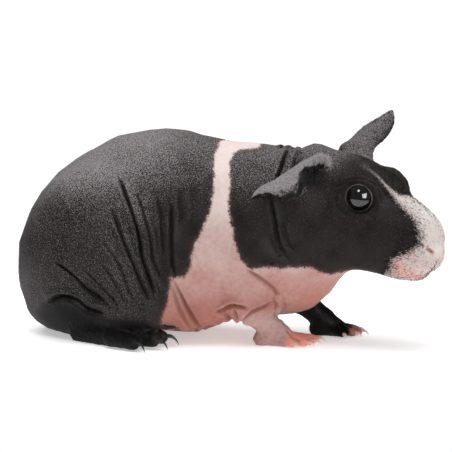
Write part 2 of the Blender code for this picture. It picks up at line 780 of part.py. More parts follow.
def claw_mesh(base, tip, thickness, arch, rings=5, sides=6):
    """A curved, tapering claw from inside the toe to its blunt point."""
    base = np.asarray(base, dtype=float)
    tip = np.asarray(tip, dtype=float)
    length = np.linalg.norm(tip - base)
    root = base - (tip - base) * 0.35 + np.array([0.0, 0.0, -0.3])
    bend = (root + tip) / 2.0 + np.array([0.0, 0.0, arch * length])
    bm = bmesh.new()
    loops = []
    for index in range(rings):
        share = index / (rings - 1)
        centre = (1 - share) ** 2 * root + 2 * share * (1 - share) * bend + share ** 2 * tip
        along = unit(2 * (1 - share) * (bend - root) + 2 * share * (tip - bend))
        side = unit(np.cross(along, (0.0, 0.0, 1.0)))
        up = np.cross(side, along)
        radius = thickness / 2.0 * (1.0 - 0.78 * share ** 1.4)
        ring = []
        for corner in range(sides):
            angle = 2.0 * math.pi * corner / sides
            place = centre + side * math.cos(angle) * radius * 0.85 + up * math.sin(angle) * radius
            ring.append(bm.verts.new(place.tolist()))
        loops.append(ring)
    for first, second in zip(loops[:-1], loops[1:]):
        for corner in range(sides):
            after = (corner + 1) % sides
            bm.faces.new((first[corner], first[after], second[after], second[corner]))
    bm.faces.new(loops[0][::-1])
    bm.faces.new(loops[-1])
    bmesh.ops.triangulate(bm, faces=bm.faces[:])
    bmesh.ops.recalc_face_normals(bm, faces=bm.faces[:])
    return mesh_from(bm, "claw")


def eye_mesh(side, radius):
    """An eyeball with its poles on the eye's own axis."""
    bm = bmesh.new()
    turn = Vector((HEAD_FRAME @ eye_axis(side)).tolist()).to_track_quat("Z", "Y").to_matrix().to_4x4()
    place = Matrix.Translation(Vector(eye_centre(side).tolist()))
    bmesh.ops.create_uvsphere(bm, u_segments=18, v_segments=10, radius=radius, matrix=place @ turn)
    bmesh.ops.triangulate(bm, faces=bm.faces[:])
    return mesh_from(bm, "eye")


def finish(name, color, roughness):
    """A plain shader in the piece's main colour."""
    material = bpy.data.materials.new(name)
    material.use_nodes = True
    shader = material.node_tree.nodes["Principled BSDF"]
    shader.inputs["Base Color"].default_value = (*color, 1.0)
    shader.inputs["Roughness"].default_value = roughness
    shader.inputs["Metallic"].default_value = 0.0
    return material


CHARCOAL = (0.035, 0.030, 0.029)
PINK = (0.66, 0.36, 0.29)
ROSE = (0.72, 0.30, 0.24)
EYE_BLACK = (0.006, 0.006, 0.007)
CLAW_BLACK = (0.012, 0.011, 0.011)
IVORY = (0.74, 0.62, 0.50)

FINISHES = {
    "torso": (CHARCOAL, 0.55), "neck": (CHARCOAL, 0.55), "head": (CHARCOAL, 0.55),
    "ear": (CHARCOAL, 0.6), "eye": (EYE_BLACK, 0.06), "hind_leg": (CHARCOAL, 0.55),
    "hind_foot": (CHARCOAL, 0.5), "foreleg_right": (PINK, 0.5), "foreleg_left": (CHARCOAL, 0.5),
    "forepaw": (ROSE, 0.5), "hind_claw": (CLAW_BLACK, 0.25), "fore_claw": (IVORY, 0.35),
}


def piece_finish(name):
    """The finish whose name the piece's name starts with."""
    for start, (color, roughness) in FINISHES.items():
        if name.startswith(start):
            return finish(name + "_finish", color, roughness)
    raise ValueError(name)


def paw_plainness(toes):
    """Less thinning near the toes."""
    tips = np.array([tip for _, tip in toes])

    def weight(points):
        gaps = np.linalg.norm(points[:, None, :] - tips[None, :, :], axis=2).min(axis=1)
        return np.clip((gaps - KEPT_NEAR_TOES) / THINNED_BEYOND_TOES, 0.0, 1.0)
    return weight


def body_plainness(points):
    """Less thinning along the folds."""
    weight = np.ones(len(points))
    for fold in folds():
        weight = np.minimum(weight, 1.0 - 0.8 * fold.nearness(points))
    return weight


def head_plainness(points):
    """Less thinning round the eyes, the nose and the mouth."""
    local = (points - HEAD_ORIGIN) @ HEAD_FRAME
    front = np.linalg.norm(local - (33.0, 0.0, -19.0), axis=1) - 13.0
    eye_gap = np.full(len(points), 1e9)
    for side in (-1.0, 1.0):
        eye_gap = np.minimum(eye_gap, np.linalg.norm(points - eye_centre(side), axis=1) - 8.0)
    return np.clip(np.minimum(front, eye_gap) / 9.0, 0.05, 1.0)


def build_pieces():
    """Every named piece as a mesh in millimetres."""
    torso, neck, head = torso_forms(), neck_forms(), head_forms()
    hind_legs = {side: hind_leg_forms(side) for side in (-1.0, 1.0)}
    hind_feet = {side: hind_foot_forms(side) for side in (-1.0, 1.0)}
    legs = {-1.0: RIGHT_FORELEG, 1.0: LEFT_FORELEG}
    forelegs = {side: foreleg_forms(leg) for side, leg in legs.items()}
    forepaws = {side: forepaw_forms(leg) for side, leg in legs.items()}
    every = torso + neck + head
    for group in (hind_legs, hind_feet, forelegs, forepaws):
        for forms in group.values():
            every = every + forms
    body_skin = Skin(every, folds() + face_lines())

    pieces = {}
    side_names = {-1.0: "right", 1.0: "left"}
    whole = refined(body_skin, rough_union(every), BODY_VOXEL, BACK_HEIGHT)
    body = thinned(whole.copy(), BODY_TRIANGLES, body_plainness)
    body = kept_behind(body, FLOOR_POINT, FLOOR_NORMAL)

    face = kept_behind(whole, HEAD_PLANE_POINT, HEAD_PLANE_NORMAL, -CUT_MARGIN)
    face = refined(body_skin, face, FINE_VOXEL, CUT_MARGIN * 0.5)
    face = thinned(face, HEAD_TRIANGLES, head_plainness)
    head_mesh = kept_behind(face, HEAD_PLANE_POINT, HEAD_PLANE_NORMAL, GAP / 2.0)
    for side in (-1.0, 1.0):
        head_mesh = combined(head_mesh, eye_mesh(side, EYE_RADIUS + GAP), "DIFFERENCE")
    pieces["head"] = head_mesh

    neck_mesh = kept_behind(body, HEAD_PLANE_POINT, -HEAD_PLANE_NORMAL, GAP / 2.0)
    neck_mesh = kept_behind(neck_mesh, NECK_PLANE_POINT, -NECK_PLANE_NORMAL, GAP / 2.0)
    torso_mesh = kept_behind(body, NECK_PLANE_POINT, NECK_PLANE_NORMAL, GAP / 2.0)

    for side in (-1.0, 1.0):
        name = side_names[side]
        foot_block = foot_cutter(side)
        leg_block = leg_cutter(side)
        toes = [(mirrored(base, side), mirrored(tip, side)) for base, tip in HIND_TOES]
        foot = thinned(stretch(body_skin, whole, foot_block), HIND_FOOT_TRIANGLES, paw_plainness(toes))
        foot = combined(foot, foot_block, "INTERSECT")
        foot = kept_behind(foot, FLOOR_POINT, FLOOR_NORMAL)
        pieces["hind_foot_" + name] = foot

        leg = combined(body, leg_block, "INTERSECT")
        pieces["hind_leg_" + name] = combined(leg, grown(foot_block, GAP), "DIFFERENCE")
        torso_mesh = combined(torso_mesh, grown(leg_block, GAP), "DIFFERENCE")
        torso_mesh = combined(torso_mesh, grown(foot_block, GAP), "DIFFERENCE")
        for number, (base, tip) in enumerate(HIND_CLAWS, start=1):
            claw = claw_mesh(mirrored(base, side), mirrored(tip, side), HIND_CLAW_THICKNESS, HIND_CLAW_ARCH)
            pieces[f"hind_claw_{name}_{number}"] = combined(claw, grown(foot, GAP), "DIFFERENCE")

        fore = legs[side]
        paw_block = paw_cutter(fore)
        arm_block = foreleg_cutter(fore)
        paw = thinned(stretch(body_skin, whole, paw_block), FOREPAW_TRIANGLES, paw_plainness(fore["toes"]))
        paw = combined(paw, paw_block, "INTERSECT")
        paw = kept_behind(paw, FLOOR_POINT, FLOOR_NORMAL)
        pieces["forepaw_" + name] = paw
        arm = combined(body, arm_block, "INTERSECT")
        pieces["foreleg_" + name] = combined(arm, grown(paw_block, GAP), "DIFFERENCE")
        torso_mesh = combined(torso_mesh, grown(arm_block, GAP), "DIFFERENCE")
        torso_mesh = combined(torso_mesh, grown(paw_block, GAP), "DIFFERENCE")
        for number, (base, tip) in enumerate(fore["claws"], start=1):
            claw = claw_mesh(base, tip, FORE_CLAW_THICKNESS, FORE_CLAW_ARCH)
            pieces[f"fore_claw_{name}_{number}"] = combined(claw, grown(paw, GAP), "DIFFERENCE")

        ear = combined(ear_mesh(RIGHT_EAR if side < 0 else LEFT_EAR), grown(head_mesh, GAP), "DIFFERENCE")
        pieces["ear_" + name] = combined(ear, grown(neck_mesh, GAP), "DIFFERENCE")
        pieces["eye_" + name] = eye_mesh(side, EYE_RADIUS)
    pieces["neck"] = neck_mesh
    pieces["torso"] = torso_mesh
    return pieces


def place_pieces(pieces):
    """Centres the animal over its own box and adds each piece to the scene in metres."""
    everything = np.concatenate([vertex_array(mesh) for mesh in pieces.values()])
    low, high = everything.min(axis=0), everything.max(axis=0)
    centre = np.array([(low[0] + high[0]) / 2.0, (low[1] + high[1]) / 2.0, low[2]])
    for name, mesh in pieces.items():
        points = (vertex_array(mesh) - centre) * MM
        mesh.vertices.foreach_set("co", points.ravel())
        mesh.materials.clear()
        mesh.materials.append(piece_finish(name))
        mesh.update()
        mesh.shade_smooth()
        mesh.set_sharp_from_angle(angle=math.radians(50.0))
        mesh.name = name
        link(name, mesh)


def main():
    """Builds the animal in an empty scene."""
    for obj in list(bpy.data.objects):
        bpy.data.objects.remove(obj)
    place_pieces(build_pieces())


main()
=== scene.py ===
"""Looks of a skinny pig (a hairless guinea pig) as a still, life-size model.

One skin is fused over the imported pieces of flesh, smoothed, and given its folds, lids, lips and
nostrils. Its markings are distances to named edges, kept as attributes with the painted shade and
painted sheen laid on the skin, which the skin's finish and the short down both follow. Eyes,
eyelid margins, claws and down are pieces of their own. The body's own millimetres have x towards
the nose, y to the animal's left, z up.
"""
import logging
import math
from dataclasses import dataclass
from enum import Enum

import bmesh
import bpy
import numpy as np
from mathutils import Matrix, Vector
from mathutils.bvhtree import BVHTree


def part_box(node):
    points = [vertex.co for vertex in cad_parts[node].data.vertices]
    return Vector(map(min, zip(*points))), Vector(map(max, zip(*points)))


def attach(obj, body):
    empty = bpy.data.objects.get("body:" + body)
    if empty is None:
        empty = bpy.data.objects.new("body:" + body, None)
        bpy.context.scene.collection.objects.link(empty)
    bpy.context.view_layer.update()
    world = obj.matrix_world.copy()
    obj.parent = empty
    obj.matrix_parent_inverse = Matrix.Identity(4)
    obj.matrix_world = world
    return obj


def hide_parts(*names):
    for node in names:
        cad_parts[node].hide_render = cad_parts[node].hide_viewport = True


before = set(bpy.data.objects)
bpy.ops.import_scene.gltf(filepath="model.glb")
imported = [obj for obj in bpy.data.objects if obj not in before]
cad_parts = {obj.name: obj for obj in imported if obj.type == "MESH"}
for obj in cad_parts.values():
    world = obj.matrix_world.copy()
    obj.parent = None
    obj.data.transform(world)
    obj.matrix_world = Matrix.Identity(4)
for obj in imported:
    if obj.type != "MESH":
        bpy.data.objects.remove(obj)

Array = np.ndarray
Place = tuple[float, float, float]
Spot = tuple[float, float]
Mesh = bpy.types.Mesh
Piece = bpy.types.Object
Material = bpy.types.Material
Node = bpy.types.Node
Socket = bpy.types.NodeSocket
BMesh = bmesh.types.BMesh

MM = 0.001
BODY = "root"
LOG = logging.getLogger("skinny_pig")


class Side(Enum):
    """The animal's own sides, with the sign of y there."""

    RIGHT = -1.0
    LEFT = 1.0

    @property
    def label(self) -> str:
        """The side's word in the names of pieces."""
        return self.name.lower()


# Small helpers for numbers and fields


def unit(vector: Array) -> Array:
    """The vector, or each row of an array, at length 1."""
    vector = np.asarray(vector, dtype=float)
    return vector / np.maximum(np.linalg.norm(vector, axis=-1, keepdims=True), 1e-12)


def rising(low: float, high: float, value: Array) -> Array:
    """A soft step from 0 at low to 1 at high."""
    share = np.clip((value - low) / (high - low), 0.0, 1.0)
    return share * share * (3.0 - 2.0 * share)


def hill(distance: Array, width: float) -> Array:
    """A soft hill of height 1 that falls off with a distance."""
    return np.exp(-(distance / width) ** 2)


def bump(value: Array, middle: float, width: float) -> Array:
    """A soft hill of height 1 round a middle value."""
    return hill(value - middle, width)


def away(places: Array, middle: Place | Array, radii: Place | float = 1.0) -> Array:
    """The distance from a middle, as a share of the radii where they are given."""
    return np.linalg.norm((places - np.asarray(middle)) / np.asarray(radii), axis=1)


def ripple(value: Array, wavelength: float) -> Array:
    """Even waves from -1 to 1."""
    return np.sin(2.0 * math.pi * value / wavelength)


def waviness(points: Array, wavelength: float, seed: int, waves: int = 7) -> Array:
    """A smooth, irregular field of about unit size.

    Args:
        points: Places in millimetres, one a row.
        wavelength: The typical distance from crest to crest, in millimetres.
        seed: Picks the field.
        waves: How many plane waves it sums.

    Returns:
        One value for each place.
    """
    draw = np.random.default_rng(seed)
    total = np.zeros(len(points))
    for _ in range(waves):
        number = 2.0 * math.pi / wavelength * draw.uniform(0.6, 1.6)
        total += np.sin(points @ unit(draw.normal(size=3)) * number + draw.uniform(0.0, 2.0 * math.pi))
    return total / math.sqrt(waves / 2.0)


def smooth_line(knots: list[Spot], steps: int = 6) -> Array:
    """A smooth line through a few places, as closer places."""
    knots = np.asarray(knots, dtype=float)
    if len(knots) < 3:
        return knots
    padded = np.concatenate([[2 * knots[0] - knots[1]], knots, [2 * knots[-1] - knots[-2]]])
    line = []
    for index in range(1, len(knots)):
        before, start, end, after = padded[index - 1:index + 3]
        for step in range(steps):
            share = step / steps
            line.append(0.5 * (2 * start + (end - before) * share
                               + (2 * before - 5 * start + 4 * end - after) * share ** 2
                               + (3 * start - before - 3 * end + after) * share ** 3))
    line.append(knots[-1])
    return np.array(line)


def along_line(places: Array, line: Array) -> tuple[Array, Array, Array]:
    """How places lie to an open line.

    Args:
        places: Places with as many columns as the line has.
        line: The line's corners.

    Returns:
        The distance to the line, the share of its length at the nearest place, and the side
        (plus or minus 1, only for places in a plane).
    """
    nearest = np.full(len(places), 1e9)
    spot = np.zeros(len(places))
    side = np.ones(len(places))
    travelled = 0.0
    for start, end in zip(line[:-1], line[1:]):
        along = end - start
        length = np.linalg.norm(along)
        offset = places - start
        share = np.clip(offset @ along / length ** 2, 0.0, 1.0)
        gap = np.linalg.norm(offset - share[:, None] * along, axis=1)
        closer = gap < nearest
        nearest = np.where(closer, gap, nearest)
        spot = np.where(closer, travelled + share * length, spot)
        if places.shape[1] == 2:
            turn = along[0] * offset[:, 1] - along[1] * offset[:, 0]
            side = np.where(closer, np.where(turn < 0.0, -1.0, 1.0), side)
        travelled += length
    return nearest, spot / travelled, side


def trail(places: Array, line: Array | list[tuple[float, ...]], width: float) -> Array:
    """A soft ridge of height 1 along a line."""
    return hill(along_line(places, np.asarray(line))[0], width)


def inside_distance(places: Array, outline: list[Spot]) -> Array:
    """The distance to a closed outline in a plane, positive inside it."""
    ring = np.asarray(outline + outline[:1], dtype=float)
    nearest, _, _ = along_line(places, ring)
    inside = np.zeros(len(places), dtype=bool)
    x, y = places.T
    for (x0, y0), (x1, y1) in zip(ring[:-1], ring[1:]):
        if y0 == y1:
            continue
        crosses = (y0 > y) != (y1 > y)
        inside ^= crosses & (x < (x1 - x0) * (y - y0) / (y1 - y0) + x0)
    return np.where(inside, nearest, -nearest)


# The animal's frames


@dataclass(frozen=True)
class HeadPose:
    """How the head is held, in degrees, and its own origin and eyes, in millimetres."""

    yaw: float = -18.0
    pitch: float = 20.0
    roll: float = 1.5
    origin: Place = (76.0, -6.35, 73.9)
    eye_place: Place = (-3.0, 12.9, -1.0)
    eye_axis: Place = (0.25, 0.95, 0.03)
    eye_radius: float = 7.2
    axis_drop: float = 16.0


class Anatomy:
    """Turns packed metres into the body's millimetres and into the head's own frame."""

    def __init__(self, pose: HeadPose) -> None:
        """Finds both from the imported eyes.

        Args:
            pose: How the head is held.
        """
        self.pose = pose
        turns = [Matrix.Rotation(math.radians(angle), 3, axis)
                 for axis, angle in (("Z", pose.yaw), ("Y", pose.pitch), ("X", pose.roll))]
        self.head_axes = np.array(turns[0] @ turns[1] @ turns[2])
        self.head_origin = np.array(pose.origin)
        middles = []
        for side in Side:
            low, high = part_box("eye_" + side.label)
            middles.append(np.array((low + high) / 2.0) / MM)
        forward, _, up = pose.eye_place
        between = self.head_origin + self.head_axes @ np.array((forward, 0.0, up))
        self.shift = between - np.mean(middles, axis=0)

    def body(self, metres: Array) -> Array:
        """Packed metres as the body's millimetres."""
        return np.asarray(metres, dtype=float) / MM + self.shift

    def metres(self, body: Array) -> Array:
        """The body's millimetres as packed metres."""
        return (np.asarray(body, dtype=float) - self.shift) * MM

    def head(self, body: Array) -> Array:
        """Body places as forward, left and up in the head's frame."""
        return (body - self.head_origin) @ self.head_axes

    def from_head(self, place: Place) -> Array:
        """A place in the head's frame as a body place."""
        return self.head_origin + self.head_axes @ np.asarray(place, dtype=float)

    def head_turn(self, head: Array) -> Array:
        """Degrees round the head's long axis: 0 on top, minus on the right, 180 under the chin."""
        return np.degrees(np.arctan2(head[:, 1], head[:, 2] + self.pose.axis_drop))

    def eye_middle(self, side: Side) -> Array:
        """The middle of an eyeball, in body millimetres."""
        forward, out, up = self.pose.eye_place
        return self.from_head((forward, side.value * out, up))

    def eye_direction(self, side: Side) -> Array:
        """The way an eye looks."""
        forward, out, up = self.pose.eye_axis
        return self.head_axes @ unit(np.array((forward, side.value * out, up)))


# How much width, length and width again slant the side view's two directions
SLANT_SIDE = 0.2493
SLANT_FORWARD = 0.0362
SLANT_DOWN = 0.145


def flank_places(body: Array) -> Array:
    """Places seen from beside and a little from the front, alike on both sides."""
    out = np.abs(body[:, 1])
    return np.stack([body[:, 0] - SLANT_SIDE * out,
                     body[:, 2] - SLANT_FORWARD * body[:, 0] - SLANT_DOWN * out], axis=1)


EARS = ("ear_right", "ear_left")
FORELEGS = ("foreleg_right", "foreleg_left")
FOREPAWS = ("forepaw_right", "forepaw_left")
HIND_FEET = ("hind_foot_right", "hind_foot_left")
FLESH = ("torso", "neck", "head", *EARS, "hind_leg_right", "hind_leg_left", *HIND_FEET, *FORELEGS,
         *FOREPAWS)


# Mesh helpers


def read_rows(items: bpy.types.bpy_prop_collection, name: str, width: int, kind: type = float) -> Array:
    """A property of vertices, normals, edges or corners, one item a row."""
    flat = np.empty(len(items) * width, dtype=kind)
    items.foreach_get(name, flat)
    return flat.reshape(-1, width)


def vertex_array(mesh: Mesh) -> Array:
    """A mesh's vertices, one a row."""
    return read_rows(mesh.vertices, "co", 3)


def normal_array(mesh: Mesh) -> Array:
    """A mesh's vertex normals, one a row."""
    return read_rows(mesh.vertex_normals, "vector", 3)


def edge_array(mesh: Mesh) -> Array:
    """A mesh's edges as pairs of vertex numbers."""
    return read_rows(mesh.edges, "vertices", 2, np.int64)


def set_vertices(mesh: Mesh, points: Array) -> None:
    """Moves a mesh's vertices."""
    mesh.vertices.foreach_set("co", points.astype(np.float32).ravel())
    mesh.update()


def keep_field(mesh: Mesh, name: str, values: Array, domain: str = "POINT") -> None:
    """Keeps a number or a vector for each vertex or corner under a name."""
    kind, key = ("FLOAT_VECTOR", "vector") if values.ndim == 2 else ("FLOAT", "value")
    field = mesh.attributes.new(name, kind, domain)
    field.data.foreach_set(key, values.astype(np.float32).ravel())


def mesh_of(bm: BMesh, name: str) -> Mesh:
    """A new mesh with a bmesh's faces; the bmesh is freed."""
    mesh = bpy.data.meshes.new(name)
    bm.to_mesh(mesh)
    bm.free()
    return mesh


def link(name: str, data: bpy.types.ID) -> Piece:
    """Adds a mesh, light or camera to the scene as an object at the origin."""
    piece = bpy.data.objects.new(name, data)
    bpy.context.scene.collection.objects.link(piece)
    return piece


def evaluated(piece: Piece) -> Mesh:
    """The object's mesh as its modifiers make it; the object is removed."""
    bpy.context.view_layer.update()
    graph = bpy.context.evaluated_depsgraph_get()
    mesh = bpy.data.meshes.new_from_object(piece.evaluated_get(graph))
    bpy.data.objects.remove(piece)
    return mesh


def merged_copy(node: str) -> BMesh:
    """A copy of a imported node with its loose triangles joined."""
    bm = bmesh.new()
    bm.from_mesh(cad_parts[node].data)
    bmesh.ops.remove_doubles(bm, verts=bm.verts[:], dist=2e-6)
    bm.normal_update()
    return bm


class Spreader:
    """Averages a value over each vertex's neighbours."""

    def __init__(self, edges: Array, count: int) -> None:
        """Keeps the edges and how many each vertex has.

        Args:
            edges: Pairs of vertex numbers.
            count: How many vertices there are.
        """
        self.start = np.concatenate([edges[:, 0], edges[:, 1]])
        self.end = np.concatenate([edges[:, 1], edges[:, 0]])
        self.count = count
        self.shares = np.maximum(np.bincount(self.start, minlength=count), 1)

    def mean(self, values: Array) -> Array:
        """The neighbours' mean for rows of one or more columns."""
        columns = values.reshape(self.count, -1)
        spread = [np.bincount(self.start, weights=column[self.end], minlength=self.count) / self.shares
                  for column in columns.T]
        return np.stack(spread, axis=1).reshape(values.shape)


# The skin's shape


@dataclass(frozen=True)
class Fold:
    """A fold of loose skin: a groove along a line, and a roll on each side of it.

    Lines are places on the slanted side view. Each fold is on both sides, a little displaced on
    the left, so that the two sides aren't mirror images.
    """

    line: list[Spot]
    depth: float
    width: float
    roll: float = 0.5
    inner: float = 6.0

    def height(self, flank: Array, out: Array) -> Array:
        """How far the fold lifts the skin.

        Args:
            flank: Places on the slanted side view.
            out: Signed distance from the middle plane.

        Returns:
            Millimetres along the surface's normal.
        """
        line = smooth_line(self.line)
        total = np.zeros(len(flank))
        for side in Side:
            places = flank if side is Side.RIGHT else flank + LEFT_SHIFT
            gap, share, turn = along_line(places, line)
            fade = rising(0.0, FOLD_TAPER, np.sin(np.pi * np.clip(share, 0.0, 1.0)))
            groove = -self.depth * hill(gap, self.width)
            uneven = np.where(turn > 0.0, *FOLD_SIDES)
            crest = self.roll * self.depth * bump(gap, 2.1 * self.width, 1.3 * self.width) * uneven
            beside = rising(self.inner, self.inner + FOLD_ONSET, out * side.value)
            total += (groove + crest) * fade * beside
        return total * FOLD_STRENGTH


# How deep all folds are, how soon they reach it, how high each side's roll is, and over how many
# millimetres they begin beside the middle plane
FOLD_STRENGTH = 1.2
FOLD_TAPER = 0.62
FOLD_SIDES = (1.25, 0.75)
FOLD_ONSET = 9.0
LEFT_SHIFT = np.array((3.5, -2.0))

FOLDS = [
    # The long creases from the back of the flank down to the knee
    Fold([(-56.1, 81.1), (-53.0, 75.0), (-50.2, 68.2), (-46.4, 58.6), (-43.6, 49.1), (-41.9, 38.9),
          (-38.4, 27.3), (-34.3, 15.8)], 1.7, 0.85, 0.55),
    Fold([(-46.8, 72.9), (-43.6, 66.1), (-40.9, 58.6), (-38.4, 49.1), (-36.4, 37.5), (-32.5, 26.0)],
         1.0, 0.75),
    Fold([(-58.6, 65.5), (-55.1, 57.3), (-52.0, 49.1), (-48.2, 39.6), (-43.6, 28.0), (-39.1, 19.8),
          (-35.0, 14.4)], 1.3, 0.8),
    Fold([(-63.4, 49.1), (-57.9, 42.3), (-53.0, 33.5), (-48.2, 23.2), (-44.0, 15.8)], 0.9, 0.75),
    Fold([(-64.8, 39.6), (-60.0, 33.5), (-55.8, 27.3), (-51.6, 20.5), (-48.8, 14.4)], 0.9, 0.7),
    Fold([(-35.4, 70.8), (-33.7, 58.6), (-32.5, 49.1), (-31.6, 38.9)], 0.9, 0.9),
    Fold([(-28.9, 66.7), (-27.9, 53.2), (-27.5, 43.7), (-27.0, 36.9), (-25.7, 28.7)], 1.3, 0.8),
    Fold([(-19.3, 83.1), (-18.2, 70.9), (-17.9, 57.4)], 0.5, 0.9),
    Fold([(-25.4, 77.6), (-24.6, 65.5), (-24.0, 53.3)], 0.45, 0.9),
    # The fan of creases over the knee and the overhanging edge of the thigh
    Fold([(-73.8, 36.8), (-66.2, 29.4), (-60.0, 23.2), (-55.1, 17.8), (-52.4, 10.3)], 1.0, 0.75),
    Fold([(-77.9, 32.7), (-69.0, 26.0), (-62.7, 22.6), (-58.6, 17.8), (-56.4, 11.0)], 0.9, 0.7),
    Fold([(-87.2, 38.9), (-79.4, 33.5), (-74.5, 29.4), (-69.0, 24.3), (-63.4, 20.9), (-57.3, 15.1)],
         1.7, 0.85),
    Fold([(-80.0, 31.1), (-72.4, 26.0), (-66.9, 21.9), (-60.7, 18.2)], 0.7, 0.6),
    Fold([(-91.7, 16.5), (-87.7, 18.5), (-83.6, 20.2), (-78.0, 19.8), (-73.1, 17.8), (-68.3, 14.4),
          (-58.0, 12.0)], 2.0, 1.1),
    Fold([(-76.5, 21.5), (-70.4, 18.5), (-66.2, 15.8), (-58.6, 14.6)], 0.8, 0.6),
    # The pink belly's pleats
    Fold([(-28.7, 30.8), (-26.7, 27.8), (-22.1, 20.0), (-17.4, 12.2), (-11.8, 2.4)], 1.5, 0.9, 0.6),
    Fold([(-29.4, 30.5), (-24.7, 17.4), (-20.7, 9.0), (-17.1, 2.4)], 1.0, 0.8),
    Fold([(-25.7, 31.1), (-20.1, 22.0), (-14.8, 13.5), (-9.1, 3.7)], 0.8, 0.8),
    Fold([(-13.1, 22.0), (-9.5, 14.2), (-6.2, 9.6), (1.1, 6.5)], 0.5, 0.8),
    Fold([(-18.0, 24.0), (-13.5, 15.0), (-9.0, 8.5)], 0.4, 0.8),
    # The skin gathered at the elbow, and the bend of the arm
    Fold([(-7.5, 12.5), (-5.5, 13.5), (-2.2, 14.8), (0.5, 16.1), (4.4, 16.1), (10.4, 14.6)], 1.7, 0.75, 0.7),
    Fold([(-3.2, 15.7), (-0.2, 10.9), (3.1, 8.3), (7.9, 6.8)], 1.5, 0.7, 0.6),
    Fold([(-0.7, 14.5), (1.5, 10.9), (4.8, 8.6)], 1.0, 0.6, 0.6),
    Fold([(2.9, 17.1), (4.1, 12.2), (5.8, 9.0), (7.9, 6.9)], 1.1, 0.6, 0.6),
    Fold([(4.3, 6.7), (9.1, 10.9), (12.4, 13.5), (17.7, 16.1), (23.7, 19.7)], 1.2, 0.75, 0.6),
    # Chest, throat and neck
    Fold([(7.4, 34.6), (10.4, 33.0), (15.0, 29.8), (19.7, 26.5), (23.0, 23.3), (24.8, 18.0)], 1.3, 0.9, 0.6),
    Fold([(21.7, 21.4), (23.6, 16.1), (22.7, 10.2)], 0.9, 0.7),
    Fold([(25.8, 22.7), (27.6, 16.8), (26.7, 10.9)], 0.6, 0.7),
    Fold([(33.6, 12.1), (37.6, 16.1), (44.2, 21.3), (50.2, 27.2), (55.5, 30.4), (62.8, 32.1)], 0.8, 0.9, 0.6),
    Fold([(52.1, 32.1), (56.1, 29.8), (60.8, 30.8)], 0.6, 0.6),
    Fold([(20.5, 75.0), (20.6, 66.0), (22.2, 57.0), (23.6, 50.6), (25.0, 45.4), (27.6, 40.8), (31.9, 35.9)],
         0.9, 0.75, 0.55),
    Fold([(19.5, 50.7), (23.6, 42.1), (28.6, 38.5)], 0.6, 0.8),
    Fold([(25.5, 58.2), (28.9, 46.7), (33.3, 42.4)], 0.7, 0.8),
    Fold([(31.0, 94.5), (28.6, 89.4), (25.7, 82.6), (23.5, 76.0), (22.5, 70.0)], 1.4, 0.8, 0.7, -6.0),
    Fold([(37.0, 93.5), (33.6, 87.5), (31.4, 82.0), (30.2, 77.0)], 1.2, 0.75, 0.7, -6.0),
    Fold([(37.5, 70.0), (43.0, 66.0), (46.0, 60.0)], 0.3, 1.0),
]


@dataclass(frozen=True)
class FaceLine:
    """A fine furrow on the face, in the head's frame."""

    line: list[Place]
    depth: float
    width: float
    roll: float = 0.0

    def height(self, head: Array) -> Array:
        """Millimetres along the surface's normal, for places in the head's frame."""
        gap, share, _ = along_line(head, smooth_line(self.line))
        fade = np.clip(np.sin(np.pi * np.clip(share, 0.0, 1.0)) * 3.0, 0.0, 1.0)
        lift = self.roll * self.depth * bump(gap, 2.2 * self.width, self.width)
        return (lift - self.depth * hill(gap, self.width)) * fade


PHILTRUM = FaceLine([(40.3, 0.0, -13.0), (39.6, 0.0, -19.0), (38.0, 0.0, -26.0)], 0.7, 0.55, 0.3)

# On the left, and mirrored on the right: mouth, cheek, and the folds before, over and under the eye
FACE_LINES = (
    FaceLine([(38.0, 0.2, -25.6), (36.2, 5.0, -25.9), (32.0, 9.6, -26.8), (27.0, 12.0, -27.0),
              (23.0, 12.4, -26.0)], 0.7, 0.8, 0.35),
    FaceLine([(31.5, 11.6, -19.5), (29.5, 12.6, -22.5), (28.5, 12.9, -25.0)], 0.35, 0.8, 0.4),
    FaceLine([(3.8, 19.0, -5.2), (6.6, 17.6, -6.6), (9.4, 15.8, -6.9)], 0.5, 0.7, 0.4),
    FaceLine([(-12.0, 20.0, 2.4), (-9.5, 20.4, 6.0), (-4.5, 19.4, 8.6), (1.0, 17.2, 8.0)], 0.45, 0.8, 0.4),
    FaceLine([(-12.5, 20.5, -4.0), (-9.0, 21.0, -8.2), (-3.0, 20.5, -10.0), (3.0, 18.6, -8.8)],
             0.35, 0.8, 0.4),
)


# Half the opening of the lids, in degrees, and how far they stand off the eyeball
LID_ANGLE = 62.0
LID_CLEARANCE = 0.12

# Place, height and reach of the far ear's root, the dip behind it and the far brow
CROWN_FORMS = (((54.5, 16.0, 91.0), 2.4, 4.5), ((48.5, 8.0, 91.0), -1.3, 5.0),
               ((73.5, 5.0, 85.2), -1.1, 4.0), ((79.6, 8.0, 83.3), 0.8, 4.0))
NOSTRIL = np.array([(37.8, 5.2, -12.7), (37.2, 6.2, -12.3), (36.0, 7.6, -11.4)])


def nose_places(head: Array) -> Array:
    """Places of the head with its left half folded over on to the right, for the nostrils."""
    out = np.where(head[:, 1] > 0.0, head[:, 1] - 3.8, -head[:, 1])
    return np.stack([head[:, 0], out, head[:, 2]], axis=1)


# Base and tip of each toe of the forepaws, in body millimetres
RIGHT_TOES = [((31.0, -17.8, 3.4), (36.5, -20.5, 2.3)), ((32.5, -16.2, 3.8), (42.0, -17.0, 2.3)),
              ((33.5, -13.6, 3.8), (44.0, -11.6, 2.3)), ((32.5, -11.0, 3.8), (44.5, -5.2, 2.3))]
LEFT_TOES = [((48.5, 15.4, 3.6), (53.5, 11.8, 2.3)), ((50.5, 17.0, 3.8), (58.6, 15.0, 2.3)),
             ((51.0, 19.4, 3.8), (60.2, 20.0, 2.3)), ((50.0, 21.6, 3.6), (58.0, 25.0, 2.3))]


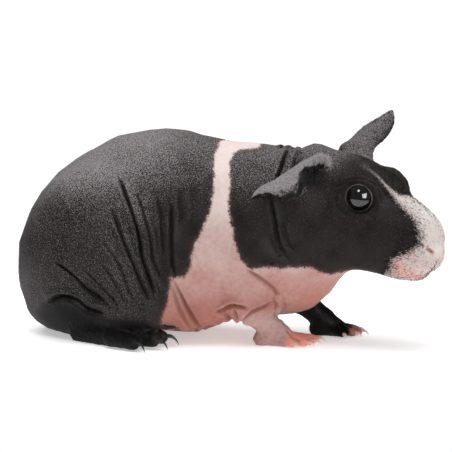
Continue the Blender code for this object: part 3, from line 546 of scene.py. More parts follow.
@dataclass
class SkinShape:
    """The one skin over every piece of flesh."""

    anatomy: Anatomy
    nodes: tuple[str, ...]
    voxel: float = 0.55
    overlap: float = 0.30
    smoothing_rounds: int = 100
    cell: float = 5.0
    evening_rounds: int = 16
    evening_pulls: Spot = (0.60, -0.62)
    settling_rounds: int = 14
    deepest: float = 3.2
    highest: float = 1.3
    triangles: int = 194000

    def fused(self) -> Mesh:
        """The nodes, each a little swollen, as one even mesh with no gaps between them."""
        whole = bmesh.new()
        for node in self.nodes:
            bm = merged_copy(node)
            for vert in bm.verts:
                vert.co += vert.normal * self.overlap * MM
            swollen = mesh_of(bm, "swollen")
            whole.from_mesh(swollen)
            bpy.data.meshes.remove(swollen)
        piece = link("fused", mesh_of(whole, "fused"))
        remesh = piece.modifiers.new("Remesh", "REMESH")
        remesh.mode = "VOXEL"
        remesh.voxel_size = self.voxel * MM
        remesh.adaptivity = 0.0
        return evaluated(piece)

    def softness(self, body: Array) -> Array:
        """How much each place is smoothed: less on face, lids, ears and toes."""
        weight = 0.10 + 0.90 * rising(8.0, 26.0, away(self.anatomy.head(body), (30.0, 0.0, -18.0)))
        for side in Side:
            lids = rising(8.5, 17.0, away(body, self.anatomy.eye_middle(side)))
            weight = np.minimum(weight, 0.05 + 0.95 * lids)
        weight = np.minimum(weight, 0.06 + 0.94 * self.off(FOREPAWS + HIND_FEET, body, 1.0, 7.0))
        return np.minimum(weight, 0.10 + 0.90 * self.off(EARS, body, 0.5, 4.0))

    def off(self, nodes: tuple[str, ...], body: Array, near: float, far: float) -> Array:
        """0 on the surface of any of the nodes, rising to 1 at the far distance."""
        result = np.ones(len(body))
        for node in nodes:
            low, high = (self.anatomy.body(corner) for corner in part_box(node))
            close = np.nonzero(np.all((body > low - far) & (body < high + far), axis=1))[0]
            bm = merged_copy(node)
            tree = BVHTree.FromBMesh(bm)
            bm.free()
            metres = self.anatomy.metres(body[close])
            reach = np.array([tree.find_nearest(Vector(place))[3] for place in metres])
            result[close] = np.minimum(result[close], rising(near, far, reach / MM))
        return result

    def on(self, nodes: tuple[str, ...], body: Array, near: float, far: float) -> Array:
        """1 on the surface of any of the nodes, falling to 0 at the far distance."""
        return 1.0 - self.off(nodes, body, near, far)

    def zones(self, body: Array) -> tuple[Array, Array, Array, Array]:
        """Head places, and how free each place is of limbs, of ears, and of all but the trunk."""
        head = self.anatomy.head(body)
        limbs = self.off(FOREPAWS + HIND_FEET + ("foreleg_left",), body, 0.5, 5.0)
        ears = self.off(EARS, body, 0.5, 3.0)
        return head, limbs, ears, limbs * ears * rising(-4.0, -16.0, head[:, 0])

    def creases(self, body: Array) -> Array:
        """How far folds of the trunk, lines of the face and furrows of the lids lift the skin."""
        head, _, ears, trunk = self.zones(body)
        warp = np.stack([waviness(body, 26.0, 3), waviness(body, 30.0, 4)], axis=1)
        warped = flank_places(body) + 0.22 * warp
        lift = np.zeros(len(body))
        for fold in FOLDS:
            lift += fold.height(warped, body[:, 1])
        lift = np.clip(lift, -self.deepest, self.highest) * trunk
        lift += PHILTRUM.height(head) * ears
        for side in Side:
            for line in FACE_LINES:
                lift += line.height(head * (1.0, side.value, 1.0)) * ears
        return lift + self.lid_folds(body)

    def sculpted(self, body: Array) -> Array:
        """How far each place is lifted along its normal by fine forms, in millimetres."""
        head, limbs, ears, trunk = self.zones(body)
        lift = self.fine_wrinkles(body, flank_places(body)) * trunk
        lift += self.face_relief(head) * ears + self.toe_relief(body)
        lift += (1.0 - ears) * 0.08 * waviness(body, 4.0, 21)
        lift += (1.0 - limbs) * 0.06 * waviness(body, 1.8, 31)
        lift += 0.04 * waviness(body, 3.2, 41) + 0.22 * waviness(body, 17.0, 42) * trunk
        for place, height, reach in CROWN_FORMS:
            lift += height * hill(away(body, place), reach)
        return lift

    def fine_wrinkles(self, body: Array, flank: Array) -> Array:
        """Close wrinkles that run beside the flank's main crease, and across belly, neck and back."""
        x, z = flank.T
        gap, _, turn = along_line(flank, smooth_line(FOLDS[0].line))
        beside = gap * turn + 0.6 * waviness(body, 24.0, 5)
        sides = rising(10.0, 22.0, np.abs(body[:, 1]))
        flank_zone = bump(gap, 8.0, 11.0) * bump(z, 45.0, 26.0)
        result = 0.16 * ripple(beside, 2.7) * flank_zone * sides
        slope = 0.83 * x + 0.56 * z + 0.8 * waviness(body, 9.0, 6)
        belly_zone = rising(34.0, 22.0, z) * bump(x, -12.0, 14.0)
        result += 0.10 * ripple(slope, 2.2) * belly_zone * sides
        round_neck = x - 0.2 * z + waviness(body, 10.0, 7)
        neck_zone = bump(x, 26.0, 11.0) * bump(z, 55.0, 22.0)
        result += 0.08 * ripple(round_neck, 2.6) * neck_zone * sides
        along_back = body[:, 0] + 2.2 * waviness(body, 22.0, 8)
        back_zone = rising(72.0, 86.0, body[:, 2]) * bump(body[:, 0], -20.0, 45.0)
        return result + 0.05 * ripple(along_back, 4.5) * back_zone

    def face_relief(self, head: Array) -> Array:
        """Nostrils, the rim over them and the whisker pads."""
        folded = nose_places(head)
        gap, share, _ = along_line(folded, NOSTRIL)
        lift = 0.30 * trail(folded, NOSTRIL + np.array((-0.2, 0.5, 1.8)), 1.2)
        lift -= (0.5 + 0.9 * bump(share, 0.45, 0.35)) * hill(gap, 0.5)
        return lift + 0.45 * hill(away(folded, (33.5, 8.6, -18.5), (5.0, 5.0, 5.5)), 1.0)

    def lid_folds(self, body: Array) -> Array:
        """Rolls and furrows that run round each eye."""
        lift = np.zeros(len(body))
        for side in Side:
            offset = body - self.anatomy.eye_middle(side)
            near = rising(13.5, 11.0, np.linalg.norm(offset, axis=1))
            way = unit(offset)
            tilt = np.degrees(np.arccos(np.clip(way @ self.anatomy.eye_direction(side), -1.0, 1.0)))
            arc = np.radians(tilt - LID_ANGLE) * self.anatomy.pose.eye_radius
            below = rising(0.4, -0.5, way @ self.anatomy.head_axes[:, 2])
            rolls = 0.42 * bump(arc, 0.8, 0.5) - 0.50 * bump(arc, 1.7, 0.4)
            rolls += (0.34 * bump(arc, 2.5, 0.5) - 0.42 * bump(arc, 3.3, 0.4)) * (0.35 + 0.65 * below)
            rolls += 0.26 * bump(arc, 4.1, 0.5) * below
            lift += rolls * near
        return lift

    def toe_relief(self, body: Array) -> Array:
        """Furrows between the toes and small wrinkles across them."""
        lift = np.zeros(len(body))
        for toes in (RIGHT_TOES, LEFT_TOES):
            for (base, tip), (next_base, next_tip) in zip(toes[:-1], toes[1:]):
                line = np.array([np.add(base, next_base) / 2.0, np.add(tip, next_tip) / 2.0])
                gap, _, _ = along_line(body[:, :2], line[:, :2])
                height = rising(1.2, 3.0, body[:, 2]) * rising(9.0, 7.0, body[:, 2])
                lift -= 1.9 * hill(gap, 0.80) * height
            for base, tip in toes:
                gap, share, _ = along_line(body, np.array([base, tip], dtype=float))
                length = np.linalg.norm(np.subtract(tip, base))
                lift += 0.10 * np.sin(2.0 * math.pi * share * length / 1.25) * rising(4.2, 2.8, gap)
        return lift

    def closed_lids(self, body: Array) -> Array:
        """Draws the edge of each lid in on to the eyeball."""
        radius = self.anatomy.pose.eye_radius
        opening = math.radians(LID_ANGLE)
        for side in Side:
            middle = self.anatomy.eye_middle(side)
            axis = self.anatomy.eye_direction(side)
            offset = body - middle
            reach = np.linalg.norm(offset, axis=1)
            ahead = offset @ axis
            across = offset - ahead[:, None] * axis
            tilt = np.degrees(np.arctan2(np.linalg.norm(across, axis=1), ahead))
            covering = (tilt < LID_ANGLE) & (reach < radius + 2.5)
            open_way = axis * math.cos(opening) + unit(across) * math.sin(opening)
            body = np.where(covering[:, None], middle + reach[:, None] * open_way, body)
            tilt = np.where(covering, LID_ANGLE, tilt)
            edge = bump(tilt, LID_ANGLE, 7.0) * bump(reach, radius + 0.3, 1.2)
            target = middle + unit(body - middle) * (radius + LID_CLEARANCE)
            body = body + (target - body) * (0.85 * edge)[:, None]
        return body

    def evening(self, body: Array, edges: Array, normals: Array, spreader: Spreader) -> Array:
        """Moves that even out the facets of back and rump but keep every broad form.

        Args:
            body: The skin's places in body millimetres.
            edges: Pairs of joined vertices.
            normals: The skin's normals.
            spreader: Spreads values along the skin's edges.

        Returns:
            The move of each place, in millimetres.
        """
        cell = np.unique(np.floor(body / self.cell).astype(int), axis=0, return_inverse=True)[1].ravel()
        count = int(cell.max()) + 1
        held = np.bincount(cell, minlength=count)[:, None]
        start = np.stack([np.bincount(cell, body[:, axis], count) for axis in range(3)], axis=1) / held
        pairs = cell[edges]
        pairs = np.unique(np.sort(pairs[pairs[:, 0] != pairs[:, 1]], axis=1), axis=0)
        coarse = Spreader(pairs, count)
        places = start
        for _ in range(self.evening_rounds):
            for pull in self.evening_pulls:
                places = places + pull * (coarse.mean(places) - places)
        move = (places - start)[cell]
        zone = rising(4.0, -14.0, body[:, 0]) * rising(24.0, 40.0, body[:, 2])
        move = normals * ((move * normals).sum(axis=1) * zone)[:, None]
        for _ in range(self.settling_rounds):
            move = spreader.mean(move)
        return move

    def build(self) -> Mesh:
        """The finished skin as a mesh in metres."""
        mesh = self.fused()
        spreader = Spreader(edge_array(mesh), len(mesh.vertices))
        LOG.info("skin fused: %d vertices", len(mesh.vertices))
        body = self.anatomy.body(vertex_array(mesh) - normal_array(mesh) * self.overlap * MM)
        softness = self.softness(body)
        body = body + self.evening(body, edge_array(mesh), normal_array(mesh), spreader) * softness[:, None]
        weight = 0.5 * softness[:, None]
        for _ in range(self.smoothing_rounds):
            body = body + weight * (spreader.mean(body) - body)
        set_vertices(mesh, self.anatomy.metres(body))
        creases = self.creases(body)
        body = body + normal_array(mesh) * (creases + self.sculpted(body))[:, None]
        body = self.closed_lids(body)
        body[:, 2] = np.maximum(body[:, 2], 0.0)
        set_vertices(mesh, self.anatomy.metres(body))
        markings = Markings(self.anatomy, self)
        body = self.anatomy.body(vertex_array(mesh))
        edges = np.minimum(np.abs(markings.pink(body)), np.abs(markings.muzzle(body)))
        busy = np.maximum(rising(0.20, 0.60, np.abs(creases)), 0.7 * rising(2.5, 1.0, edges))
        return self.thinned(mesh, busy)

    def thinned(self, mesh: Mesh, busy: Array) -> Mesh:
        """The mesh with fewer triangles where the skin is plain.

        Args:
            mesh: The full skin.
            busy: 1 at vertices in folds, where it stays dense.

        Returns:
            The thinned mesh.
        """
        count = sum(len(polygon.vertices) - 2 for polygon in mesh.polygons)
        plain = self.softness(self.anatomy.body(vertex_array(mesh))) * (1.0 - 0.6 * busy)
        piece = link("thinning", mesh)
        group = piece.vertex_groups.new(name="plain")
        for tenth in range(11):
            chosen = np.nonzero(np.round(plain * 10.0) == tenth)[0].tolist()
            if chosen:
                group.add(chosen, tenth / 10.0, "REPLACE")
        thin = piece.modifiers.new("Decimate", "DECIMATE")
        thin.ratio = min(1.0, self.triangles / count)
        thin.use_collapse_triangulate = True
        thin.vertex_group = "plain"
        thin.vertex_group_factor = 0.30
        return evaluated(piece)


# The markings


RIGHT_PINK = [
    (-4.0, 112.0), (-4.5, 96.7), (-4.9, 93.3), (-6.7, 88.4), (-7.2, 83.6), (-6.9, 76.8), (-7.2, 70.0),
    (-8.9, 62.7), (-11.2, 55.9), (-14.3, 50.1), (-16.5, 45.7), (-18.3, 39.9), (-18.3, 35.0),
    (-21.8, 30.2), (-25.7, 29.7), (-28.0, 30.0), (-28.9, 22.9), (-30.7, 15.1), (-32.2, 10.8),
    (-33.6, 4.0), (-34.0, -20.0), (84.0, -20.0), (84.0, 27.0), (75.2, 30.4), (62.8, 32.1), (55.4, 32.1),
    (48.5, 31.6), (44.0, 33.1), (39.6, 35.0), (34.1, 35.0), (28.2, 34.3), (23.3, 34.6), (17.8, 35.0),
    (14.3, 34.6), (10.4, 34.3), (6.9, 37.5), (4.5, 42.3), (3.0, 49.1), (2.0, 55.9), (0.5, 62.7),
    (0.5, 68.5), (1.2, 73.4), (1.2, 79.2), (1.2, 85.5), (3.0, 88.9), (5.9, 90.8), (10.9, 91.8),
    (15.8, 92.3), (16.8, 96.2), (18.0, 112.0),
]
LEFT_PINK = [
    (-3.0, 112.0), (-3.0, 92.0), (-8.0, 84.0), (-12.0, 72.0), (-13.0, 60.0), (-10.0, 50.0),
    (-13.0, 42.0), (-20.0, 36.0), (-27.0, 33.0), (-31.0, 24.0), (-33.0, 12.0), (-34.0, -20.0),
    (4.0, -20.0), (4.0, 14.0), (3.0, 27.0), (4.0, 36.0), (-1.0, 46.0), (-4.0, 58.0), (-2.0, 70.0),
    (2.0, 80.0), (3.0, 88.0), (9.0, 91.5), (16.0, 93.0), (17.0, 112.0),
]
CHEST_PINK = [(-2.0, -12.0), (75.0, -12.0), (78.0, 31.0), (45.0, 34.0), (10.0, 35.0), (-4.0, 20.0)]

# The muzzle's white blaze and patch, unrolled: degrees round the head's axis, millimetres forward
MUZZLE_EDGE = [
    (-175.0, 16.5), (-160.0, 18.2), (-142.0, 22.1), (-130.0, 23.4), (-113.0, 23.5), (-100.0, 26.8),
    (-89.0, 29.7), (-59.0, 33.1), (-41.0, 30.4), (-29.0, 26.5), (-26.0, 21.5), (-23.5, 16.9),
    (-21.0, 11.6), (-19.5, 7.7), (-18.5, 4.8), (-17.5, 2.5), (-16.5, 4.8), (-15.0, 7.7), (-12.5, 10.8),
    (-6.0, 13.3), (4.0, 14.8), (14.0, 18.0), (24.0, 24.0), (38.0, 29.0), (60.0, 32.5), (82.0, 30.5),
    (100.0, 25.5), (120.0, 22.0), (145.0, 19.0), (175.0, 16.5),
]
# Millimetres a degree in the unrolled places, where the blaze ends, and a value far outside
TURN_TO_MM = 0.26
BLAZE_END = -14.0
OUTSIDE = -20.0
BLAZE_LINE = np.array([(-13.0 * TURN_TO_MM, -10.0), (-14.5 * TURN_TO_MM, -3.5), (-16.5 * TURN_TO_MM, 1.0),
                       (-17.5 * TURN_TO_MM, 6.0)])
# Outline of the painted shadow under the thigh's overhanging edge, on the slanted side view
UNDER_THIGH_SHADOW = [(-99.0, 12.0), (-91.7, 15.5), (-87.7, 17.3), (-83.6, 19.2), (-78.0, 18.8), (-73.1, 16.6),
               (-68.3, 13.2), (-58.0, 10.6), (-48.0, 10.0), (-36.5, 8.0), (-34.0, -6.0), (-99.0, -6.0)]
# The least and most specks on each ear, the most where it faces up, as a painted sheen, and the line of the
# far ear's hollow, where shade is painted
EAR_SPECKS_AND_SHEEN = {"ear_right": (0.10, 1.0), "ear_left": (0.34, 0.62)}
FAR_EAR_HOLLOW = np.array([(60.3, 24.0, 94.0), (67.5, 27.5, 101.0)])


@dataclass
class Markings:
    """Colour fields of the skin, each a distance in millimetres or a share from 0 to 1; some of them place
    painted shade and a painted sheen.
    """

    anatomy: Anatomy
    shape: SkinShape
    chest_right: float = -9.0
    chest_left: float = 27.0
    pale_toes_start: float = 57.0

    def pink(self, body: Array) -> Array:
        """Inside (plus) or outside the pink of band, belly, chest and forelegs."""
        flank = flank_places(body)
        x, y, z = body.T
        near = rising(9.0, -9.0, y)
        result = inside_distance(flank, RIGHT_PINK) * near + inside_distance(flank, LEFT_PINK) * (1.0 - near)
        chest = inside_distance(flank, CHEST_PINK) + 0.6 * waviness(body, 9.0, 52)
        chest = np.maximum(result, np.minimum(chest, self.chest_left - y))
        result = np.where(y > self.chest_right, chest, result)
        # The lowest few millimetres of the belly behind the forelegs are black: partly a black underside,
        # partly painted shade under the belly
        under = np.maximum(z - 5.5 + 2.0 * waviness(body, 12.0, 51), rising(-4.0, 6.0, x) * 9.0)
        result = np.minimum(result, np.where(x < 10.0, under, 9.0))
        black = np.maximum(self.left_leg(body), self.shape.on(HIND_FEET, body, 0.6, 1.6))
        return np.minimum(result, -6.0 * (black - 0.5))

    def left_leg(self, body: Array) -> Array:
        """1 on the left foreleg, which is black down to its toes."""
        leg = self.shape.on(("foreleg_left", "forepaw_left"), body, 0.8, 4.0)
        return leg * rising(21.0, 16.0, body[:, 2])

    def unrolled(self, head: Array) -> Array:
        """Places round the head's axis, in millimetres across and forward."""
        return np.stack([TURN_TO_MM * self.anatomy.head_turn(head), head[:, 0]], axis=1)

    def muzzle(self, body: Array) -> Array:
        """Inside (plus) or outside the white of the muzzle and blaze."""
        head = self.anatomy.head(body)
        outline = [(TURN_TO_MM * angle, ahead) for angle, ahead in MUZZLE_EDGE]
        outline += [(TURN_TO_MM * 176.0, 60.0), (-TURN_TO_MM * 176.0, 60.0)]
        return np.where(head[:, 0] < BLAZE_END, OUTSIDE, inside_distance(self.unrolled(head), outline))

    def pale_toes(self, body: Array) -> Array:
        """Inside (plus) the pink toes of the far forepaw."""
        far_forepaw = (body[:, 1] > 8.0) & (body[:, 2] < 14.0)
        return np.where(far_forepaw, body[:, 0] - self.pale_toes_start, OUTSIDE)

    def rose(self, body: Array, head: Array) -> Array:
        """How red the pink is: toes, nostrils, mouth, armpit and the throat's edge."""
        folded = nose_places(head)
        flank = flank_places(body)
        result = 0.62 * trail(folded, NOSTRIL, 1.1)
        result += 0.45 * trail(folded, [(38.0, 0.0, -25.6), (32.0, 9.6, -26.8), (23.0, 12.4, -26.0)], 1.6)
        result += 0.42 * rising(-8.0, -18.0, head[:, 2]) * rising(10.0, 20.0, head[:, 0])
        result += 0.40 * hill(away(folded, (26.0, 9.0, -27.0), (6.0, 5.0, 6.0)), 1.0)
        toes = rising(29.0, 37.0, body[:, 0]) * rising(9.0, 5.5, body[:, 2]) * (head[:, 2] < -30.0)
        result += 0.85 * toes * rising(62.0, 50.0, body[:, 0])
        throat = trail(flank, [(38.0, 16.0), (50.0, 27.0), (62.0, 32.0)], 4.5)
        result += 0.35 * throat * (body[:, 1] < 6.0)
        result += 0.25 * trail(flank, [(-4.0, 11.0), (2.0, 14.5), (8.0, 15.0)], 4.0)
        return np.clip(result, 0.0, 1.0)

    def blush(self, body: Array) -> Array:
        """Slow changes of the pink, from pale on the back to rosy and darker below: partly the skin's own
        rosiness, partly painted shade.
        """
        x, _, z = body.T
        leg = self.shape.on(("foreleg_right", "forepaw_right"), body, 0.8, 5.0)
        result = 0.95 - 0.0125 * (z - 12.0) + 0.05 * waviness(body, 22.0, 61)
        return np.clip(result - 0.36 * leg * rising(20.0, 14.0, z) * rising(10.0, 16.0, x), 0.0, 1.0)

    def shade(self, body: Array, normals: Array) -> Array:
        """Where shade is painted on the black skin: under the thigh's overhang, on the far foreleg, behind
        and under the near ear, in the far ear's hollow and just above the floor.
        """
        flank = flank_places(body)
        x, z = flank.T
        behind_ear = rising(1.1, 0.5, away(flank, (42.5, 77.0), (8.5, 6.0))) * (body[:, 1] < 0.0)
        near_ear = self.shape.on(("ear_right",), body, 0.5, 2.0)
        front = rising(-0.4, 0.8, x - 31.8 - 0.317 * (z - 66.9)) * rising(83.4, 82.0, z)
        far_ear = self.shape.on(("ear_left",), body, 0.5, 2.0)
        hollow, _, _ = along_line(body, FAR_EAR_HOLLOW)
        # Each part is painted shade: under the thigh, far foreleg, behind and under the near ear, far ear's
        # hollow, next to the floor
        return np.clip(np.maximum.reduce([
            rising(-0.5, 2.5, inside_distance(flank, UNDER_THIGH_SHADOW)),
            self.left_leg(body) * rising(59.0, 56.0, body[:, 0]),
            0.9 * behind_ear,
            near_ear * np.maximum(front, rising(0.15, -0.15, normals[:, 2])),
            0.85 * far_ear * rising(4.2, 2.2, hollow) * (normals[:, 1] < 0.2),
            rising(3.5, 1.0, body[:, 2])]), 0.0, 1.0)

    def ash(self, body: Array, normals: Array) -> Array:
        """How thick the light specks lie on the black skin: most on the back and ears, more where it faces up
        as a painted sheen.
        """
        head = self.anatomy.head(body)
        haunch = rising(-10.0, -40.0, body[:, 0])
        crown = rising(-26.0, -12.0, head[:, 0])
        # more specks on top-facing skin: a painted sheen
        top = rising(-0.15, 1.0, normals[:, 2]) * rising(15.0, 85.0, body[:, 2])
        result = 0.05 + 0.26 * haunch + 0.02 * crown + (0.54 - 0.40 * crown) * top
        line, share, _ = along_line(self.unrolled(head), BLAZE_LINE)
        result += (0.25 + 0.55 * share) * hill(line, 0.8) * (head[:, 0] > BLAZE_END)
        upward = rising(-0.1, 0.5, normals[:, 2])
        # on each ear, more specks where it faces up, and on the near ear: a painted sheen
        for node, (least, most) in EAR_SPECKS_AND_SHEEN.items():
            on_ear = self.shape.on((node,), body, 0.5, 2.5)
            result = result * (1.0 - on_ear) + on_ear * (least + (most - least) * upward)
        return np.clip(result * (1.0 - 0.85 * self.shade(body, normals)), 0.0, 1.0)


# Where the down of each ear points
EAR_TIPS = {"ear_right": (19.7, -34.5, 72.8), "ear_left": (73.4, 31.0, 108.8)}


@dataclass
class Coat:
    """Where the down grows, how thickly, and which way it lies."""

    anatomy: Anatomy
    shape: SkinShape

    def lie(self, body: Array, normals: Array) -> Array:
        """The way the down lies, along the surface.

        Args:
            body: Places in body millimetres.
            normals: The skin's normals there.

        Returns:
            Unit directions.
        """
        head = self.anatomy.head(body)
        back = np.tile((-1.0, 0.0, -0.35), (len(body), 1))
        outward = unit(head @ self.anatomy.head_axes.T)
        face_back = -self.anatomy.head_axes[:, 0] + 0.5 * outward
        face = rising(-30.0, -14.0, head[:, 0])[:, None]
        result = back * (1.0 - face) + face_back * face
        foot = (rising(22.0, 14.0, body[:, 2]) * (head[:, 2] < -30.0))[:, None]
        result = result * (1.0 - foot) + np.array((0.9, 0.0, -0.45)) * foot
        for node, tip in EAR_TIPS.items():
            on_ear = self.shape.on((node,), body, 0.5, 3.0)[:, None]
            result = result * (1.0 - on_ear) + unit(np.array(tip) - body) * on_ear
        result = result - normals * (result * normals).sum(axis=1, keepdims=True)
        return unit(result + 1e-6)

    def amounts(self, body: Array, normals: Array, pink: Array, muzzle: Array,
                shade: Array) -> dict[str, Array]:
        """The share of each kind of down at each place.

        Args:
            body: Places in body millimetres.
            normals: The skin's normals there.
            pink: The body's pink, as a distance inside.
            muzzle: The muzzle's white, as a distance inside.
            shade: Where shade is painted on the black skin.

        Returns:
            One field from 0 to 1 for each layer of down.
        """
        head = self.anatomy.head(body)
        x, y, z = body.T
        upward = normals[:, 2]
        folded = np.stack([head[:, 0], np.abs(head[:, 1]), head[:, 2]], axis=1)
        bare = rising(0.7, 1.3, away(folded, (40.0, 3.5, -13.0), (5.0, 5.5, 4.5)))
        ears = self.shape.on(EARS, body, 0.5, 2.5)
        paws = self.shape.on(FOREPAWS + FORELEGS, body, 0.5, 4.0)
        floor_clear = rising(0.6, 1.6, z)
        right_leg = paws * (y < 2.0) * rising(18.0, 13.0, z) * rising(12.0, 18.0, x) * floor_clear
        left_leg = paws * (y > 2.0) * rising(26.0, 20.0, z) * floor_clear
        nearest_eye = np.min([away(body, self.anatomy.eye_middle(side)) for side in Side], axis=0)
        head_zone = rising(-34.0, -22.0, head[:, 0]) * (head[:, 2] > -36.0) * (1.0 - ears)
        head_zone = head_zone * rising(8.4, 10.5, nearest_eye)
        reach = 0.9 + 2.3 * rising(14.0, 24.0, head[:, 0])
        edge = bump(muzzle, -0.3, 0.45 + reach)
        beyond = bump(head[:, 0], 19.0, 11.0) * bump(self.anatomy.head_turn(head), 8.0, 20.0)
        lower = rising(0.0, 2.0, muzzle) * rising(-13.0, -19.0, head[:, 2])
        # More light ear down where the ear faces up and on the near ear, as painted light; none where shade
        # is painted
        lit_ear_top = rising(-0.2, 0.5, upward) * np.where(y < 0.0, 1.0, 0.55)
        trunk = (1.0 - head_zone) * (1.0 - ears) * (1.0 - paws) * rising(0.5, -1.0, pink)
        return {
            "muzzle_light": rising(-0.7, 0.4, muzzle / reach) * bare,
            "muzzle_dark": np.clip(edge + 0.24 * lower + 0.62 * beyond, 0.0, 1.0) * bare,
            "face_light": head_zone * rising(0.5, -2.0, muzzle) * rising(-0.6, 0.6, upward),
            "ear_light": ears * (0.15 + 0.85 * lit_ear_top) * (1.0 - shade),
            "body_light": trunk * rising(-0.9, 0.7, upward) * rising(4.0, 14.0, z),
            "leg_light": right_leg * rising(38.0, 31.0, x) + 0.30 * left_leg * rising(55.0, 58.0, x),
            "leg_dark": left_leg * rising(59.0, 55.0, x),
        }


# Shaders


@dataclass(frozen=True)
class Tone:
    """A colour in linear light."""

    red: float
    green: float
    blue: float

    @property
    def rgba(self) -> tuple[float, float, float, float]:
        """The colour with full alpha."""
        return (self.red, self.green, self.blue, 1.0)


class Sketch:
    """A node tree, with short ways to add nodes and join them."""

    def __init__(self, tree: bpy.types.NodeTree) -> None:
        """Keeps the tree.

        Args:
            tree: Where the nodes go.
        """
        self.tree = tree

    def feed(self, node: Node, socket: str | int, value: object) -> None:
        """Puts a number, a colour or another node's output into a socket."""
        if isinstance(value, Socket):
            self.tree.links.new(value, node.inputs[socket])
        else:
            node.inputs[socket].default_value = value.rgba if isinstance(value, Tone) else value

    def node(self, kind: str, sockets: dict[str | int, object], **settings: object) -> Node:
        """Adds a node, sets its properties and feeds its sockets.

        Args:
            kind: The node's type.
            sockets: What each input gets: a value or another node's output.
            **settings: Properties of the node.

        Returns:
            The node.
        """
        node = self.tree.nodes.new(kind)
        for name, setting in settings.items():
            setattr(node, name, setting)
        for socket, value in sockets.items():
            self.feed(node, socket, value)
        return node

    def math(self, operation: str, first: object, second: object = 0.0,
             third: object = 0.0) -> Socket:
        """One step of arithmetic."""
        sockets = {0: first, 1: second, 2: third}
        return self.node("ShaderNodeMath", sockets, operation=operation).outputs["Value"]


class ShaderSketch(Sketch):
    """A material, with short ways to build its noises, steps and blends."""

    def __init__(self, name: str) -> None:
        """Starts a material.

        Args:
            name: The material's name.
        """
        self.material = bpy.data.materials.new(name)
        self.material.use_nodes = True
        super().__init__(self.material.node_tree)
        self.shader = self.tree.nodes["Principled BSDF"]
        self.places = self.tree.nodes.new("ShaderNodeTexCoord").outputs["Object"]

    def set(self, **values: float | tuple) -> None:
        """Sets the shader's own sockets; an underscore stands for a space."""
        for name, value in values.items():
            self.shader.inputs[name.replace("_", " ")].default_value = value

    def attribute(self, name: str) -> Socket:
        """A field kept on the mesh."""
        return self.node("ShaderNodeAttribute", {}, attribute_name=name).outputs["Fac"]

    def noise(self, size_mm: float, detail: float = 2.0, roughness: float = 0.5,
              stretch: Place = (1.0, 1.0, 1.0)) -> Socket:
        """Noise from 0 to 1, with features of about the size given, in the object's own place."""
        mapping = self.node("ShaderNodeMapping", {"Vector": self.places, "Scale": stretch})
        return self.node("ShaderNodeTexNoise", {
            "Vector": mapping.outputs["Vector"], "Scale": 1.0 / (size_mm * MM), "Detail": detail,
            "Roughness": roughness}).outputs["Fac"]

    def wander(self, noise: Socket, spread: float) -> Socket:
        """Noise made to vary round zero, by the spread in all."""
        return self.math("MULTIPLY_ADD", noise, spread, -spread / 2.0)

    def step(self, value: object, low: float, high: float, smallest: float = 0.0,
             largest: float = 1.0) -> Socket:
        """A soft step between two values."""
        return self.node("ShaderNodeMapRange", {
            "Value": value, "From Min": low, "From Max": high, "To Min": smallest,
            "To Max": largest}, interpolation_type="SMOOTHSTEP").outputs["Result"]

    def blend(self, share: object, first: object, second: object) -> Socket:
        """A mix of two colours."""
        return self.node("ShaderNodeMix", {0: share, 6: first, 7: second}, data_type="RGBA").outputs[2]

    def relief(self, height: Socket, depth_mm: float, strength: float = 1.0,
               below: Socket | None = None) -> Socket:
        """A bump of a real depth, over another bump if there is one."""
        sockets = {"Height": height, "Distance": depth_mm * MM, "Strength": strength}
        if below is not None:
            sockets["Normal"] = below
        return self.node("ShaderNodeBump", sockets).outputs["Normal"]

    def color(self, socket: Socket) -> None:
        """Gives the shader its colour."""
        self.feed(self.shader, "Base Color", socket)


